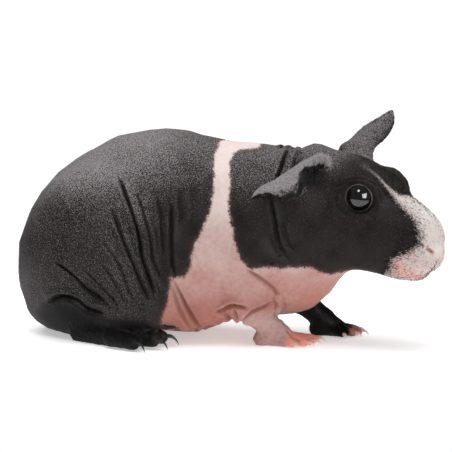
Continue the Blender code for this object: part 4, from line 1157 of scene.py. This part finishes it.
@dataclass(frozen=True)
class SkinFinish:
    """Charcoal and pink bare skin with a fine speckle of light down, painted shade in creases, nostrils and
    shaded places, a painted sheen on top-facing black skin, and pink that darkens downwards.
    """

    charcoal: Tone = Tone(0.0178, 0.0132, 0.0124)
    # the blackest tone: a random dark mottling, and the colour of all painted shade
    soot: Tone = Tone(0.0034, 0.0029, 0.0028)
    # light specks of down, also laid thicker on top-facing skin as a painted sheen
    ash: Tone = Tone(0.350, 0.325, 0.332)
    # pale pink of the lit back and the darker pink below: partly rosiness, partly painted shade
    pale_pink: Tone = Tone(0.870, 0.745, 0.715)
    pink: Tone = Tone(0.400, 0.165, 0.130)
    # pink in the creases: a redder pink that is also painted shade
    deep_pink: Tone = Tone(0.290, 0.120, 0.095)
    red: Tone = Tone(0.900, 0.320, 0.240)
    white: Tone = Tone(0.930, 0.850, 0.820)
    plum: Tone = Tone(0.100, 0.050, 0.046)

    def material(self) -> Material:
        """The skin's material."""
        sketch = ShaderSketch("bare_skin")
        sketch.set(Roughness=0.62, Sheen_Weight=0.012, Sheen_Roughness=0.30,
                   Sheen_Tint=(0.85, 0.82, 0.84, 1.0), Subsurface_Weight=0.10,
                   Subsurface_Radius=(1.0, 0.35, 0.2), Subsurface_Scale=0.0012, Specular_IOR_Level=0.12)
        groove = sketch.attribute("groove")
        ash = sketch.attribute("ash")
        dark = sketch.blend(sketch.step(sketch.noise(9.0, 3.0), 0.35, 0.85), self.charcoal, self.soot)
        # light specks of down, thicker on top-facing skin as a painted sheen and thinner where shade is
        # painted
        level = sketch.math("MULTIPLY_ADD", ash, 0.26, sketch.noise(0.42, 2.0, 0.75))
        thick = sketch.step(ash, 0.0, 0.60, 0.10, 1.0)
        specks = sketch.math("MULTIPLY", sketch.step(level, 0.60, 0.78), thick)
        dark = sketch.blend(specks, dark, self.ash)
        # painted shade: the black skin darkens in the creases
        dark = sketch.blend(sketch.step(groove, 0.25, 0.9, 0.0, 0.8), dark, self.soot)
        # painted shade: the shade field turns the black skin almost black
        dark = sketch.blend(sketch.math("MULTIPLY", sketch.attribute("shade"), 0.92), dark, self.soot)

        # the pink, pale on top and darker lower down: partly its own rosiness, partly painted shade
        mottling = sketch.wander(sketch.noise(2.2, 4.0, 0.6), 0.36)
        blush = sketch.math("ADD", sketch.attribute("blush"), mottling)
        light = sketch.blend(sketch.step(blush, -0.15, 1.05), self.pale_pink, self.pink)
        # painted shade in the pink creases, with a redder pink there too
        light = sketch.blend(sketch.step(groove, 0.1, 1.0, 0.0, 0.55), light, self.deep_pink)
        rose = sketch.attribute("rose")
        light = sketch.blend(sketch.step(rose, 0.1, 1.0, 0.0, 0.70), light, self.red)
        white_share = sketch.math("MULTIPLY", sketch.step(sketch.attribute("muzzle"), -1.0, 4.0, 0.0, 0.9),
                                  sketch.step(rose, 0.75, 0.1, 0.0, 0.9))
        light = sketch.blend(white_share, light, self.white)

        ragged = sketch.wander(sketch.noise(0.8, 2.0, 0.6), 2.6)
        slow = sketch.wander(sketch.noise(3.2, 2.0), 2.4)
        body_edge = sketch.math("ADD", sketch.math("ADD", sketch.attribute("pink"), ragged), slow)
        speckle = sketch.wander(sketch.noise(0.6, 3.0, 0.7), 8.0)
        face_edge = sketch.math("ADD", sketch.attribute("muzzle"), speckle)
        body_share = sketch.step(body_edge, -0.5, 0.5)
        face_share = sketch.step(face_edge, -0.6, 0.6)
        share = sketch.math("MAXIMUM", body_share, face_share)
        rim = sketch.math("MULTIPLY", sketch.step(body_edge, -2.2, 0.0), sketch.step(body_edge, 1.2, 0.0))
        color = sketch.blend(share, dark, light)
        color = sketch.blend(sketch.math("MULTIPLY", rim, 0.5), color, self.plum)
        # painted shade inside the nostrils
        color = sketch.blend(sketch.attribute("hollow"), color, self.soot)
        sketch.color(color)

        pebble = sketch.relief(sketch.noise(0.55, 3.0, 0.65), 0.10, 0.55)
        creases = sketch.relief(sketch.noise(1.6, 3.0, 0.6), 0.22, 0.5, pebble)
        sketch.feed(sketch.shader, "Normal", creases)
        sketch.feed(sketch.shader, "Roughness", sketch.step(rose, 0.3, 1.0, 0.54, 0.40))
        return sketch.material


@dataclass(frozen=True)
class DownFinish:
    """One kind of short hair."""

    name: str
    root: Tone
    tip: Tone
    roughness: float = 0.6
    shine: float = 0.1

    def material(self) -> Material:
        """Hair whose colour varies a little from place to place."""
        sketch = ShaderSketch(self.name)
        sketch.set(Roughness=self.roughness, Specular_IOR_Level=self.shine)
        sketch.color(sketch.blend(sketch.noise(1.5, 2.0), self.root, self.tip))
        return sketch.material


@dataclass(frozen=True)
class EyeFinish:
    """A wet black eye with a very dark brown iris."""

    pupil: Tone = Tone(0.002, 0.002, 0.0025)
    iris: Tone = Tone(0.010, 0.006, 0.004)

    def material(self) -> Material:
        """The eyeball's material; the pupil attribute is 1 in the pupil."""
        sketch = ShaderSketch("wet_eye")
        sketch.set(Roughness=0.02, Specular_IOR_Level=0.8)
        fibres = sketch.blend(sketch.noise(0.3, 3.0), self.pupil, self.iris)
        sketch.color(sketch.blend(sketch.step(sketch.attribute("pupil"), 0.4, 0.6), fibres, self.pupil))
        return sketch.material


@dataclass(frozen=True)
class LidFinish:
    """The dark, moist margin of the lids."""

    dark: Tone = Tone(0.020, 0.017, 0.017)
    light: Tone = Tone(0.120, 0.108, 0.108)

    def material(self) -> Material:
        """Smooth dark skin with a faint mottling."""
        sketch = ShaderSketch("lid_margin")
        sketch.set(Roughness=0.35, Specular_IOR_Level=0.5)
        sketch.color(sketch.blend(sketch.noise(0.5, 2.0), self.dark, self.light))
        return sketch.material


@dataclass(frozen=True)
class ClawFinish:
    """Horn that clears or darkens towards its point."""

    name: str
    root: Tone
    point: Tone
    roughness: float

    def material(self) -> Material:
        """Horn with fine streaks along it; the reach attribute runs from 0 to 1 at the point."""
        sketch = ShaderSketch(self.name)
        sketch.set(Roughness=self.roughness, Specular_IOR_Level=0.4, Subsurface_Weight=0.05,
                   Subsurface_Scale=0.001)
        along = (0.3, 1.0, 0.6)
        share = sketch.math("ADD", sketch.attribute("reach"),
                            sketch.wander(sketch.noise(0.35, 3.0, 0.6, along), 0.5))
        sketch.color(sketch.blend(sketch.step(share, 0.1, 0.8), self.root, self.point))
        sketch.feed(sketch.shader, "Normal", sketch.relief(sketch.noise(0.3, 3.0, 0.6, along), 0.05, 0.5))
        return sketch.material


# Geometry node trees


class NodeSketch(Sketch):
    """A geometry node tree with named inputs and short ways to build it."""

    def __init__(self, name: str, inputs: dict[str, str]) -> None:
        """Starts a tree with its inputs and a geometry output.

        Args:
            name: The tree's name.
            inputs: Each input's name, and its socket type without the common start.
        """
        super().__init__(bpy.data.node_groups.new(name, "GeometryNodeTree"))
        sockets = self.tree.interface
        sockets.new_socket("Geometry", in_out="OUTPUT", socket_type="NodeSocketGeometry")
        self.identifiers: dict[str, str] = {}
        for key, kind in inputs.items():
            socket = sockets.new_socket(key, in_out="INPUT", socket_type="NodeSocket" + kind)
            self.identifiers[key] = socket.identifier
        self.entry = self.tree.nodes.new("NodeGroupInput")

    def value(self, name: str) -> Socket:
        """A named input's value."""
        return self.entry.outputs[name]

    def attribute(self, name: object, kind: str = "FLOAT_VECTOR") -> Socket:
        """A field kept on the geometry."""
        node = self.node("GeometryNodeInputNamedAttribute", {"Name": name}, data_type=kind)
        return node.outputs["Attribute"]

    def stored(self, geometry: object, name: str, value: object, kind: str,
               domain: str) -> Socket:
        """The geometry with a field kept on it."""
        sockets = {"Geometry": geometry, "Name": name, "Value": value}
        node = self.node("GeometryNodeStoreNamedAttribute", sockets, data_type=kind, domain=domain)
        return node.outputs["Geometry"]

    def scaled(self, vector: object, factor: object) -> Socket:
        """A vector made longer or shorter."""
        sockets = {0: vector, "Scale": factor}
        return self.node("ShaderNodeVectorMath", sockets, operation="SCALE").outputs["Vector"]

    def added(self, first: object, second: object) -> Socket:
        """The sum of two vectors."""
        return self.node("ShaderNodeVectorMath", {0: first, 1: second}, operation="ADD").outputs["Vector"]

    def close(self, geometry: Socket) -> None:
        """Realizes the instances, sets the material input and ends the tree."""
        real = self.node("GeometryNodeRealizeInstances", {"Geometry": geometry})
        painted = self.node("GeometryNodeSetMaterial", {"Geometry": real.outputs["Geometry"],
                                                        "Material": self.value("Material")})
        self.node("NodeGroupOutput", {"Geometry": painted.outputs["Geometry"]})

    def made(self, name: str, start: Mesh, values: dict[str, object]) -> Piece:
        """Runs the tree on a mesh and keeps the result as a plain object.

        Args:
            name: The new piece's name.
            start: The mesh that the tree starts from.
            values: What each named input gets.

        Returns:
            An object at the origin with a plain mesh.
        """
        carrier = link(name + "_maker", start)
        modifier = carrier.modifiers.new("Make", "NODES")
        modifier.node_group = self.tree
        for key, value in values.items():
            modifier[self.identifiers[key]] = value
        mesh = evaluated(carrier)
        mesh.name = name
        return link(name, mesh)


def down_tree() -> NodeSketch:
    """Scatters bent hairs over a skin, along its lie, with each root's place on the unwrap.

    Returns:
        The tree. Its start is the skin, with the lie and each layer's share kept as attributes.
    """
    sketch = NodeSketch("Down", {
        "Geometry": "Geometry", "Share": "String", "Hairs per Square Metre": "Float",
        "Shortest": "Float", "Longest": "Float", "Standing": "Float", "Straying": "Float", "Seed": "Int",
        "Hair": "Object", "Unwrapped Skin": "Object", "Patch": "Float", "Material": "Material"})
    seed = sketch.value("Seed")
    density = sketch.math("MULTIPLY", sketch.attribute(sketch.value("Share"), "FLOAT"),
                          sketch.value("Hairs per Square Metre"))
    scatter = sketch.node("GeometryNodeDistributePointsOnFaces", {
        "Mesh": sketch.value("Geometry"), "Density": density, "Seed": seed}, distribute_method="RANDOM")
    unwrapped = sketch.node("GeometryNodeObjectInfo", {"Object": sketch.value("Unwrapped Skin")})
    sampled = sketch.node("GeometryNodeSampleNearestSurface", {
        "Mesh": unwrapped.outputs["Geometry"], "Value": sketch.attribute("unwrap")},
        data_type="FLOAT_VECTOR")
    rooted = sketch.stored(scatter.outputs["Points"], "root_place", sampled.outputs["Value"],
                           "FLOAT_VECTOR", "POINT")
    lie = sketch.attribute("lie")
    stray = sketch.node("FunctionNodeRandomValue", {
        "Min": (-1.0, -1.0, -1.0), "Max": (1.0, 1.0, 1.0), "Seed": seed}, data_type="FLOAT_VECTOR")
    leaning = sketch.added(lie, sketch.scaled(scatter.outputs["Normal"], sketch.value("Standing")))
    way = sketch.added(leaning, sketch.scaled(stray.outputs["Value"], sketch.value("Straying")))
    upright = sketch.node("FunctionNodeAlignRotationToVector", {"Vector": way}, axis="Z")
    turned = sketch.node("FunctionNodeAlignRotationToVector", {
        "Rotation": upright.outputs["Rotation"], "Vector": lie}, axis="X", pivot_axis="Z")
    length = sketch.node("FunctionNodeRandomValue", {
        2: sketch.value("Shortest"), 3: sketch.value("Longest"), "Seed": seed}, data_type="FLOAT")
    hair = sketch.node("GeometryNodeObjectInfo", {"Object": sketch.value("Hair"), "As Instance": True})
    hairs = sketch.node("GeometryNodeInstanceOnPoints", {
        "Points": rooted, "Instance": hair.outputs["Geometry"],
        "Rotation": turned.outputs["Rotation"], "Scale": length.outputs[1]})
    real = sketch.node("GeometryNodeRealizeInstances", {"Geometry": hairs.outputs["Instances"]})
    own_patch = sketch.scaled(sketch.attribute("hair_place"), sketch.value("Patch"))
    place = sketch.added(sketch.attribute("root_place"), own_patch)
    sketch.close(sketch.stored(real.outputs["Geometry"], "OFBake", place, "FLOAT2", "CORNER"))
    return sketch


def horn_tree() -> NodeSketch:
    """A curved, tapering horn along a bend, for claws.

    Returns:
        The tree, with the horn's root, bend, tip, thickness, rings and sides as inputs.
    """
    sketch = NodeSketch("Horn", {
        "Geometry": "Geometry", "Root": "Vector", "Bend": "Vector", "Tip": "Vector",
        "Thickness": "Float", "Rings": "Int", "Sides": "Int", "Material": "Material"})
    path = sketch.node("GeometryNodeCurveQuadraticBezier", {
        "Resolution": sketch.value("Rings"), "Start": sketch.value("Root"),
        "Middle": sketch.value("Bend"), "End": sketch.value("Tip")})
    share = sketch.node("GeometryNodeSplineParameter", {}).outputs["Factor"]
    taper = sketch.math("MULTIPLY_ADD", sketch.math("POWER", share, 1.15), -0.95, 1.0)
    kept = sketch.stored(path.outputs["Curve"], "reach", share, "FLOAT", "POINT")
    ring = sketch.node("GeometryNodeCurvePrimitiveCircle", {
        "Resolution": sketch.value("Sides"),
        "Radius": sketch.math("MULTIPLY", sketch.value("Thickness"), 0.5)})
    horn = sketch.node("GeometryNodeCurveToMesh", {
        "Curve": kept, "Profile Curve": ring.outputs["Curve"], "Scale": taper, "Fill Caps": True})
    sketch.close(sketch.node("GeometryNodeSetShadeSmooth", {0: horn.outputs["Mesh"]}).outputs[0])
    return sketch


# Pieces


def dress(piece: Piece, material: Material) -> None:
    """Gives a finished piece its material, smooth shading and body.

    Args:
        piece: The piece, at the origin.
        material: What it is made of.
    """
    piece.data.materials.clear()
    piece.data.materials.append(material)
    piece.data.shade_smooth()
    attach(piece, BODY)
    LOG.info("%s: %d faces", piece.name, len(piece.data.polygons))


@dataclass
class Hide:
    """The skin as a dressed piece, with every field that its finish and down read."""

    anatomy: Anatomy

    def build(self) -> Piece:
        """Builds, marks and dresses the skin.

        Returns:
            The skin, standing for every node of flesh.
        """
        shape = SkinShape(self.anatomy, FLESH)
        mesh = shape.build()
        mesh.name = "skin"
        body = self.anatomy.body(vertex_array(mesh))
        normals = normal_array(mesh)
        head = self.anatomy.head(body)
        markings = Markings(self.anatomy, shape)
        pink = np.maximum(markings.pink(body), markings.pale_toes(body))
        on_head = (head[:, 0] > -25.0) & (head[:, 2] > -30.5)
        pink = np.where(on_head, np.minimum(pink, -3.0), pink)
        muzzle = markings.muzzle(body)
        # The fields for the creases, the shade and the nostrils place painted shade; the specks' field also
        # places a painted sheen
        fields = {"pink": pink, "muzzle": muzzle, "rose": markings.rose(body, head),
                  "blush": markings.blush(body), "groove": np.clip(-shape.creases(body) / 1.6, 0.0, 1.0),
                  "hollow": self.hollows(head), "ash": markings.ash(body, normals),
                  "shade": markings.shade(body, normals)}
        coat = Coat(self.anatomy, shape)
        fields.update(coat.amounts(body, normals, pink, muzzle, fields["shade"]))
        fields["lie"] = coat.lie(body, normals)
        for name, values in fields.items():
            keep_field(mesh, name, values)
        piece = link("skin", mesh)
        dress(piece, SkinFinish().material())
        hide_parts(*FLESH)
        return piece

    def hollows(self, head: Array) -> Array:
        """Painted shade inside the nostrils."""
        gap, share, _ = along_line(nose_places(head), NOSTRIL - np.array((0.4, 0.1, 0.0)))
        return np.exp(-(gap / 0.6) ** 2) * bump(share, 0.5, 0.55)


@dataclass
class Eyes:
    """Eyeballs, bulged a little at the cornea, each with the margin of its lids."""

    anatomy: Anatomy
    lid_angle: float = LID_ANGLE
    lid_tube: float = 0.36
    corner_swell: float = 0.25
    margin_steps: tuple[int, int] = (96, 10)
    ball_steps: tuple[int, int] = (64, 48)
    ball_gap: float = 0.03
    cornea: float = 0.25
    cornea_angles: Spot = (48.0, 20.0)
    pupil_angle: float = 30.0
    pupil_blur: float = 3.0

    def build(self) -> None:
        """Builds and dresses both eyes."""
        eye = EyeFinish().material()
        lid = LidFinish().material()
        for side in Side:
            ball = link(f"eyeball_{side.label}", self.ball(side))
            dress(ball, eye)
            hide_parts("eye_" + side.label)
            dress(link(f"lid_margin_{side.label}", self.margin(side)), lid)

    def turn(self, side: Side) -> Array:
        """Axes of the eye: its last column is the way it looks."""
        way = Vector(self.anatomy.eye_direction(side))
        return np.array(way.to_track_quat("Z", "Y").to_matrix())

    def ball(self, side: Side) -> Mesh:
        """The eyeball's mesh."""
        radius = self.anatomy.pose.eye_radius - self.ball_gap
        around, along = self.ball_steps
        bm = bmesh.new()
        bmesh.ops.create_uvsphere(bm, u_segments=around, v_segments=along, radius=1.0)
        mesh = mesh_of(bm, "eyeball")
        ways = unit(vertex_array(mesh))
        angle = np.degrees(np.arccos(np.clip(ways[:, 2], -1.0, 1.0)))
        reach = radius + self.cornea * rising(*self.cornea_angles, angle)
        body = self.anatomy.eye_middle(side) + (ways * reach[:, None]) @ self.turn(side).T
        set_vertices(mesh, self.anatomy.metres(body))
        edge = (self.pupil_angle + self.pupil_blur, self.pupil_angle - self.pupil_blur)
        keep_field(mesh, "pupil", rising(*edge, angle))
        return mesh

    def margin(self, side: Side) -> Mesh:
        """A thin rolled edge round the opening, thickest at the corners."""
        around, across = self.margin_steps
        turns = np.linspace(0.0, 2.0 * math.pi, around, endpoint=False)
        rounds = np.linspace(0.0, 2.0 * math.pi, across, endpoint=False)
        tilt = math.radians(self.lid_angle)
        reach = self.anatomy.pose.eye_radius + LID_CLEARANCE
        axis = np.stack([np.cos(turns) * math.sin(tilt), np.sin(turns) * math.sin(tilt),
                         np.full(around, math.cos(tilt))], axis=1)
        inward = np.stack([-np.cos(turns) * math.cos(tilt), -np.sin(turns) * math.cos(tilt),
                           np.full(around, math.sin(tilt))], axis=1)
        tube = self.lid_tube * (1.0 + self.corner_swell * np.cos(2.0 * turns) ** 8)
        points = []
        for angle in rounds:
            offset = axis * math.cos(angle) + inward * math.sin(angle)
            points.append(axis * reach + offset * tube[:, None])
        local = np.stack(points, axis=1).reshape(-1, 3)
        faces = []
        for first in range(around):
            after = (first + 1) % around
            for second in range(across):
                beside = (second + 1) % across
                faces.append((first * across + second, after * across + second,
                              after * across + beside, first * across + beside))
        mesh = bpy.data.meshes.new("lid_margin")
        body = self.anatomy.eye_middle(side) + local @ self.turn(side).T
        mesh.from_pydata(self.anatomy.metres(body).tolist(), [], faces)
        bm = bmesh.new()
        bm.from_mesh(mesh)
        bmesh.ops.recalc_face_normals(bm, faces=bm.faces[:])
        bm.to_mesh(mesh)
        bm.free()
        return mesh


@dataclass
class Claws:
    """The claws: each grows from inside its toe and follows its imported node."""

    hind_thickness: float = 2.2
    fore_thickness: float = 1.8
    rings: int = 20
    sides: int = 14
    root_share: float = 0.25
    tip_share: float = 0.93
    sunk: float = 0.35
    bend_along: float = 0.95
    bend_rise: float = 0.22
    tip_reach: float = 0.04

    def build(self) -> None:
        """Builds and dresses every claw."""
        tree = horn_tree()
        dark = ClawFinish("dark_horn", Tone(0.012, 0.010, 0.010), Tone(0.006, 0.005, 0.005), 0.30).material()
        pale = ClawFinish("pale_horn", Tone(0.640, 0.420, 0.330), Tone(0.780, 0.680, 0.560), 0.30).material()
        for node in sorted(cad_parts):
            if "claw" not in node:
                continue
            hind = node.startswith("hind")
            side = node.split("_")[2]
            foot = ("hind_foot_" if hind else "forepaw_") + side
            root, bend, tip = self.measured(node, foot)
            piece = tree.made(node.replace("claw", "nail"), bpy.data.meshes.new("start"), {
                "Root": root.tolist(), "Bend": bend.tolist(), "Tip": tip.tolist(),
                "Thickness": (self.hind_thickness if hind else self.fore_thickness) * MM,
                "Rings": self.rings, "Sides": self.sides, "Material": dark if hind else pale})
            dress(piece, dark if hind else pale)
            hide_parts(node)

    def measured(self, node: str, foot: str) -> tuple[Array, Array, Array]:
        """Root, bend and tip of a claw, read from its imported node, in metres."""
        points = vertex_array(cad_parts[node].data)
        low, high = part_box(foot)
        reach = away(points, np.array((low + high) / 2.0))
        share = (reach - reach.min()) / (reach.max() - reach.min())
        root = points[share < self.root_share].mean(axis=0)
        tip = points[share > self.tip_share].mean(axis=0)
        along = (tip - root) * (1.0, 1.0, 0.0)
        root = root - self.sunk * along
        rise = np.array((0.0, 0.0, self.bend_rise)) * np.linalg.norm(along)
        return root, root + self.bend_along * along + rise, tip + self.tip_reach * along


@dataclass(frozen=True)
class DownLayer:
    """One sort of down: where, how thick, how long and how it stands."""

    name: str
    share: str
    per_square_centimetre: float
    shortest: float
    longest: float
    thickness: float
    standing: float
    straying: float
    finish: DownFinish
    slot: str
    seed: int


WHITE_HAIR = DownFinish("white_hair", Tone(0.88, 0.84, 0.81), Tone(0.98, 0.96, 0.94))
BLACK_HAIR = DownFinish("black_hair", Tone(0.004, 0.0034, 0.0034), Tone(0.012, 0.010, 0.010), 0.9, 0.0)
GREY_HAIR = DownFinish("grey_hair", Tone(0.10, 0.09, 0.09), Tone(0.45, 0.43, 0.43))
EAR_HAIR = DownFinish("ear_hair", Tone(0.12, 0.115, 0.12), Tone(0.62, 0.60, 0.62))
FAWN_HAIR = DownFinish("fawn_hair", Tone(0.16, 0.11, 0.09), Tone(0.78, 0.64, 0.60))

DOWN = (
    DownLayer("muzzle_white_down", "muzzle_light", 420.0, 0.5, 1.2, 0.140, 0.45, 0.60,
              WHITE_HAIR, "pink_skin", 1),
    DownLayer("muzzle_black_down", "muzzle_dark", 280.0, 0.5, 1.1, 0.170, 0.55, 0.70,
              BLACK_HAIR, "black_skin", 2),
    DownLayer("face_down", "face_light", 150.0, 0.2, 0.4, 0.045, 0.45, 0.45,
              GREY_HAIR, "black_skin", 3),
    DownLayer("ear_down", "ear_light", 330.0, 0.3, 0.8, 0.095, 0.45, 0.40,
              EAR_HAIR, "ear_skin", 4),
    DownLayer("body_down", "body_light", 36.0, 0.25, 0.5, 0.050, 0.50, 0.30,
              GREY_HAIR, "black_skin", 5),
    DownLayer("leg_fawn_down", "leg_light", 360.0, 0.8, 1.8, 0.075, 0.22, 0.25,
              FAWN_HAIR, "pink_skin", 6),
    DownLayer("leg_black_down", "leg_dark", 420.0, 0.9, 2.0, 0.080, 0.14, 0.12,
              BLACK_HAIR, "black_skin", 7),
)


# Height, width and bend of the three corners' rings along a hair, and the bend of its tip
HAIR_RINGS = ((-0.12, 0.9, 0.0), (0.35, 0.85, 0.05), (0.75, 0.5, 0.20))
HAIR_TIP_BEND = 0.38


@dataclass
class Down:
    """Short hair over the skin, made of solid tapered hairs."""

    skin: Piece
    unwrap_triangles: int = 9000
    unwrap_angle: float = 66.0
    island_gap: float = 0.004
    patch: float = 0.003

    def build(self) -> None:
        """Grows every layer."""
        tree = down_tree()
        unwrapped = self.unwrapped_skin()
        for layer in DOWN:
            hair = self.hair(layer)
            finish = layer.finish.material()
            piece = tree.made(layer.name, self.skin.data.copy(), {
                "Share": layer.share, "Hairs per Square Metre": layer.per_square_centimetre * 1e4,
                "Shortest": layer.shortest * MM, "Longest": layer.longest * MM,
                "Standing": layer.standing, "Straying": layer.straying, "Seed": layer.seed, "Hair": hair,
                "Unwrapped Skin": unwrapped, "Patch": self.patch, "Material": finish})
            self.keep_only_map(piece.data)
            bpy.data.objects.remove(hair)
            dress(piece, finish)
        bpy.data.objects.remove(unwrapped)

    def keep_only_map(self, mesh: Mesh) -> None:
        """Drops the skin's fields from a layer of down."""
        kept = {"position", "OFBake", "sharp_face", "material_index"}
        for name in [attribute.name for attribute in mesh.attributes]:
            if name not in kept and not name.startswith("."):
                mesh.attributes.remove(mesh.attributes[name])

    def unwrapped_skin(self) -> Piece:
        """A coarse copy of the skin, unwrapped by its own shape."""
        piece = link("unwrapping", self.skin.data.copy())
        thin = piece.modifiers.new("Decimate", "DECIMATE")
        thin.ratio = self.unwrap_triangles / len(piece.data.polygons)
        coarse = link("unwrapped", evaluated(piece))
        bpy.context.view_layer.objects.active = coarse
        for other in bpy.context.selected_objects:
            other.select_set(False)
        coarse.select_set(True)
        bpy.ops.object.mode_set(mode="EDIT")
        bpy.ops.mesh.select_all(action="SELECT")
        bpy.ops.uv.smart_project(angle_limit=math.radians(self.unwrap_angle), island_margin=self.island_gap)
        bpy.ops.object.mode_set(mode="OBJECT")
        flat = read_rows(coarse.data.uv_layers.active.uv, "vector", 2)
        keep_field(coarse.data, "unwrap", np.pad(flat, ((0, 0), (0, 1))), "CORNER")
        coarse.hide_render = True
        return coarse

    def hair(self, layer: DownLayer) -> Piece:
        """One hair of unit length along z, bent towards x, closed at its sunk root.

        Args:
            layer: The layer that the hair is for.

        Returns:
            A hidden object; its hair_place field runs over the hair's own patch.
        """
        slim = layer.thickness / (0.5 * (layer.shortest + layer.longest)) / 2.0
        rows = []
        for height, width, bend in HAIR_RINGS:
            for corner in range(3):
                angle = 2.0 * math.pi * corner / 3.0
                rows.append((bend + slim * width * math.cos(angle), slim * width * math.sin(angle), height))
        rows.append((HAIR_TIP_BEND, 0.0, 1.0))
        faces = [(2, 1, 0)]
        for level in range(2):
            for corner in range(3):
                after = (corner + 1) % 3
                low = level * 3
                faces.append((low + corner, low + after, low + 3 + after, low + 3 + corner))
        faces += [(6, 7, 9), (7, 8, 9), (8, 6, 9)]
        mesh = bpy.data.meshes.new("hair")
        mesh.from_pydata(rows, [], faces)
        places = [(corner / 2.0 - 0.5, max(height, 0.0) - 0.5, 0.0)
                  for height, _, _ in HAIR_RINGS for corner in range(3)] + [(0.0, 0.5, 0.0)]
        keep_field(mesh, "hair_place", np.array(places))
        hair = link("hair_" + layer.name, mesh)
        hair.hide_render = True
        return hair


# Studio


@dataclass
class Studio:
    """A plain pale floor, soft lights and the camera."""

    anatomy: Anatomy
    azimuth: float = 14.0
    elevation: float = 8.5
    distance: float = 1.8
    view_width: float = 0.217
    sensor: float = 36.0
    view_right: float = -0.96
    view_up: float = 53.9
    view_depth: float = 12.0
    ambient: float = 0.18
    seen_white: float = 1.05
    floor_radius: float = 0.24
    lit_place: Place = (0.05, 0.0, 0.06)

    def build(self) -> None:
        """Sets the stage."""
        self.floor()
        self.world()
        self.lights()
        self.camera()
        bpy.context.scene.view_settings.view_transform = "Standard"

    def floor(self) -> None:
        """A round, plain floor that ends where the picture is white."""
        bm = bmesh.new()
        bmesh.ops.create_circle(bm, cap_ends=True, segments=96, radius=self.floor_radius)
        mesh = mesh_of(bm, "floor")
        sketch = ShaderSketch("studio_floor")
        sketch.set(Roughness=0.8, Specular_IOR_Level=0.1, Emission_Strength=0.42,
                   Emission_Color=(1.0, 1.0, 1.0, 1.0))
        sketch.color(sketch.blend(sketch.noise(30.0, 2.0), Tone(0.93, 0.93, 0.93), Tone(0.96, 0.96, 0.96)))
        mesh.materials.append(sketch.material)
        link("studio_floor", mesh)

    def world(self) -> None:
        """White behind the animal, and a dimmer even light round it."""
        world = bpy.data.worlds.new("studio")
        world.use_nodes = True
        bpy.context.scene.world = world
        tree = world.node_tree
        seen = tree.nodes.new("ShaderNodeLightPath").outputs["Is Camera Ray"]
        strength = tree.nodes.new("ShaderNodeMapRange")
        tree.links.new(seen, strength.inputs["Value"])
        strength.inputs["To Min"].default_value = self.ambient
        strength.inputs["To Max"].default_value = self.seen_white
        background = tree.nodes["Background"]
        background.inputs["Color"].default_value = (1.0, 1.0, 1.0, 1.0)
        tree.links.new(strength.outputs["Result"], background.inputs["Strength"])

    def lamp(self, name: str, kind: str, way: Place, reach: float, settings: dict[str, object],
             mirrored: bool = True, lit: bool = True) -> None:
        """Adds a light that shines at the animal's head.

        Args:
            name: The light's name.
            kind: Its type.
            way: The direction it stands in.
            reach: How far away it stands, in metres.
            settings: Its own properties.
            mirrored: Whether shiny surfaces mirror it.
            lit: Whether it lights dull surfaces.
        """
        light = bpy.data.lights.new(name, kind)
        for key, value in settings.items():
            setattr(light, key, value)
        middle = Vector(self.lit_place)
        piece = link(name, light)
        place = middle + Vector(way).normalized() * reach
        self.stand(piece, place, middle - place)
        piece.visible_glossy = mirrored
        piece.visible_diffuse = lit

    def stand(self, piece: Piece, place: Vector | Array, way: Vector) -> None:
        """Stands a light or the camera at a place, looking a certain way."""
        piece.location = place
        piece.rotation_mode = "QUATERNION"
        piece.rotation_quaternion = way.to_track_quat("-Z", "Y")

    def lights(self) -> None:
        """An even, very soft light from above, a small round one and a window at the right."""
        self.lamp("overhead", "SUN", (-0.16, -0.10, 1.0), 2.0,
                  {"energy": 2.75, "angle": math.radians(60.0)}, mirrored=False)
        self.lamp("small_round", "AREA", (-0.10, -0.50, 0.86), 1.2,
                  {"shape": "DISK", "size": 0.36, "energy": 3.4}, lit=False)
        self.lamp("window", "AREA", (0.70, -0.64, 0.24), 1.1,
                  {"shape": "SQUARE", "size": 0.66, "energy": 12.0}, lit=False)
        self.lamp("side_fill", "AREA", (0.60, -0.72, 0.34), 1.4,
                  {"shape": "SQUARE", "size": 0.9, "energy": 4.2}, mirrored=False)

    def camera(self) -> None:
        """The photo's view through a long lens."""
        turn, rise = math.radians(self.azimuth), math.radians(self.elevation)
        right = np.array((math.cos(turn), math.sin(turn), 0.0))
        back = np.array((math.sin(turn) * math.cos(rise), -math.cos(turn) * math.cos(rise), math.sin(rise)))
        up = np.cross(back, right)
        target = self.anatomy.metres(right * self.view_right + up * self.view_up + back * self.view_depth)
        data = bpy.data.cameras.new("camera")
        data.sensor_width = self.sensor
        data.lens = self.sensor * self.distance / self.view_width
        data.clip_start, data.clip_end = 0.05, 20.0
        camera = link("camera", data)
        self.stand(camera, target + back * self.distance, Vector(-back))
        bpy.context.scene.camera = camera


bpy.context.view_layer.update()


def main() -> None:
    """Builds the animal and its studio."""
    logging.basicConfig(level=logging.INFO, format="%(name)s %(message)s")
    anatomy = Anatomy(HeadPose())
    skin = Hide(anatomy).build()
    Eyes(anatomy).build()
    Claws().build()
    Down(skin).build()
    Studio(anatomy).build()


if __name__ == "__main__":
    main()
